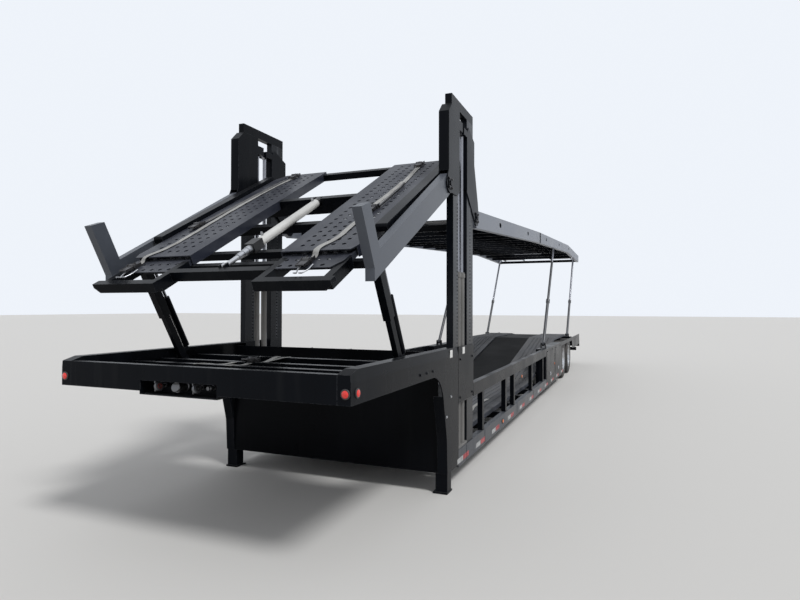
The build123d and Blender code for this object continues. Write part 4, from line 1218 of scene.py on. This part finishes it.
class TRAILER_OT_hydraulics(Operator):
    """Fittings and steel lines of the lift cylinders, and ports of the rack's cylinders"""
    bl_idname = "trailer.hydraulics"
    bl_label = "Hydraulics"

    def execute(self, context):
        y = HALF_WIDTH - 0.0456
        metal, lines = [], []
        for station in BARREL_STATIONS:
            x = x_at(station)
            metal.append(lathe([(0.0345, 0), (0.0415, 0.002), (0.0415, 0.046), (0.0345, 0.048),
                                (0.0345, 0)], (x, y, 2.092), UP, 32))
            for z in (0.62, 1.02, 2.110):
                metal.append(disc((x - 0.030, y, z), (-1, 0, 0), 0.011, 0.022, 0.0015, 6))
                metal.append(disc((x - 0.050, y, z - 0.014), UP, 0.010, 0.028, 0.0015, 12))
            lines.append(pipe([(x - 0.050, y - inset, z) for inset, z in (
                (0, 2.094), (0, 1.60), (0.010, 0.66), (0.010, 0.42))], 0.0065, 8))
        settle(both_sides(join(metal)), "lift_fittings", "barrel_paint")
        settle(both_sides(join(lines)), "lift_lines", "machined_steel")
        ports = []
        for u in (0.43, 1.36):
            foot = rack(u, 0, 0.052)
            ports.append(disc(foot, RACK_UP, 0.013, 0.022, 0.002, 6))
            ports.append(disc(foot + RACK_UP * 0.022, RACK_UP, 0.009, 0.010, 0.001, 12))
        settle(join(ports), "cylinder_ports", "zinc", "head_rack")
        return {"FINISHED"}


def view_matrix(place, yaw, pitch, roll):
    """World matrix of a camera at place."""
    forward = Vector((-cos(yaw) * cos(pitch), -sin(yaw) * cos(pitch), sin(pitch)))
    right = forward.cross(UP).normalized()
    right = cos(roll) * right + sin(roll) * right.cross(forward)
    up = right.cross(forward)
    return Matrix.Translation(place) @ Matrix((right, up, -forward)).transposed().to_4x4()


class TRAILER_OT_stage(Operator):
    """Pale floor, soft light and the camera"""
    bl_idname = "trailer.stage"
    bl_label = "Stage"

    def execute(self, context):
        settings = context.scene.trailer_stage
        camera = bpy.data.cameras.new("view")
        camera.lens = settings.lens
        camera.sensor_width = 36.0
        camera.clip_end = 200.0
        eye = new_object("view", camera)
        eye.matrix_world = view_matrix(settings.camera_place, settings.camera_yaw,
                                       settings.camera_pitch, settings.camera_roll)
        context.scene.camera = eye

        deselect()
        bpy.ops.mesh.primitive_plane_add(size=240.0, location=(0, 0, -0.002))
        floor = context.object
        floor.name = "floor"
        tree, shader, _ = new_material("pale_floor")
        give(tree, shader, {"Base Color": (*settings.floor_colour, 1), "Roughness": 0.9})
        floor.data.materials.append(bpy.data.materials["pale_floor"])

        world = bpy.data.worlds.new("studio")
        context.scene.world = world
        world.use_nodes = True
        tree = world.node_tree
        light = tree.nodes["Background"]
        give(tree, light, {"Color": (0.94, 0.96, 1.0, 1), "Strength": settings.sky_light})
        seen = add(tree, "ShaderNodeBackground",
                   {"Color": (*settings.sky_colour, 1), "Strength": 1.0})
        ray = add(tree, "ShaderNodeLightPath").outputs
        direct = reckon(tree, "MAXIMUM", ray["Is Camera Ray"], ray["Is Glossy Ray"])
        direct = reckon(tree, "MAXIMUM", direct, ray["Is Transmission Ray"])
        choice = add(tree, "ShaderNodeMixShader",
                     {0: direct, 1: light.outputs[0], 2: seen.outputs[0]})
        give(tree, tree.nodes["World Output"], {"Surface": choice.outputs[0]})

        lamp = bpy.data.lights.new("key", "SUN")
        lamp.energy = settings.sun_light
        lamp.angle = 0.25
        new_object("key", lamp).rotation_euler = (-0.55, 0.30, 0)
        context.scene.view_settings.view_transform = "Standard"
        return {"FINISHED"}


STEPS = (TRAILER_OT_stage, TRAILER_OT_finishes, TRAILER_OT_tracks, TRAILER_OT_posts,
         TRAILER_OT_wheels, TRAILER_OT_lamps, TRAILER_OT_tape, TRAILER_OT_straps,
         TRAILER_OT_couplings, TRAILER_OT_side_trim, TRAILER_OT_fasteners, TRAILER_OT_hydraulics)
SETTINGS = (("trailer_paint", PaintSettings), ("trailer_tracks", TrackSettings),
            ("trailer_wheels", WheelSettings), ("trailer_trim", TrimSettings),
            ("trailer_stage", StageSettings))


class TRAILER_PT_panel(Panel):
    """Steps of the trailer's finish"""
    bl_idname = "TRAILER_PT_panel"
    bl_label = "Trailer"
    bl_space_type = "VIEW_3D"
    bl_region_type = "UI"
    bl_category = "Trailer"

    def draw(self, context):
        for name, kind in SETTINGS:
            box = self.layout.box()
            box.label(text=kind.__doc__)
            for field in kind.__annotations__:
                box.prop(getattr(context.scene, name), field)
        for step in STEPS:
            self.layout.operator(step.bl_idname)


CLASSES = tuple(kind for _, kind in SETTINGS) + STEPS + (TRAILER_PT_panel,)


def register():
    for item in CLASSES:
        bpy.utils.register_class(item)
    for name, kind in SETTINGS:
        setattr(bpy.types.Scene, name, PointerProperty(type=kind))


def unregister():
    for name, _ in SETTINGS:
        delattr(bpy.types.Scene, name)
    for item in reversed(CLASSES):
        bpy.utils.unregister_class(item)


def main():
    register()
    bpy.ops.trailer.stage()
    bpy.ops.trailer.finishes()
    bpy.ops.trailer.tracks()
    bpy.ops.trailer.posts()
    bpy.ops.trailer.wheels()
    bpy.ops.trailer.lamps()
    bpy.ops.trailer.tape()
    bpy.ops.trailer.straps()
    bpy.ops.trailer.couplings()
    bpy.ops.trailer.side_trim()
    bpy.ops.trailer.fasteners()
    bpy.ops.trailer.hydraulics()


if __name__ == "__main__":
    main()
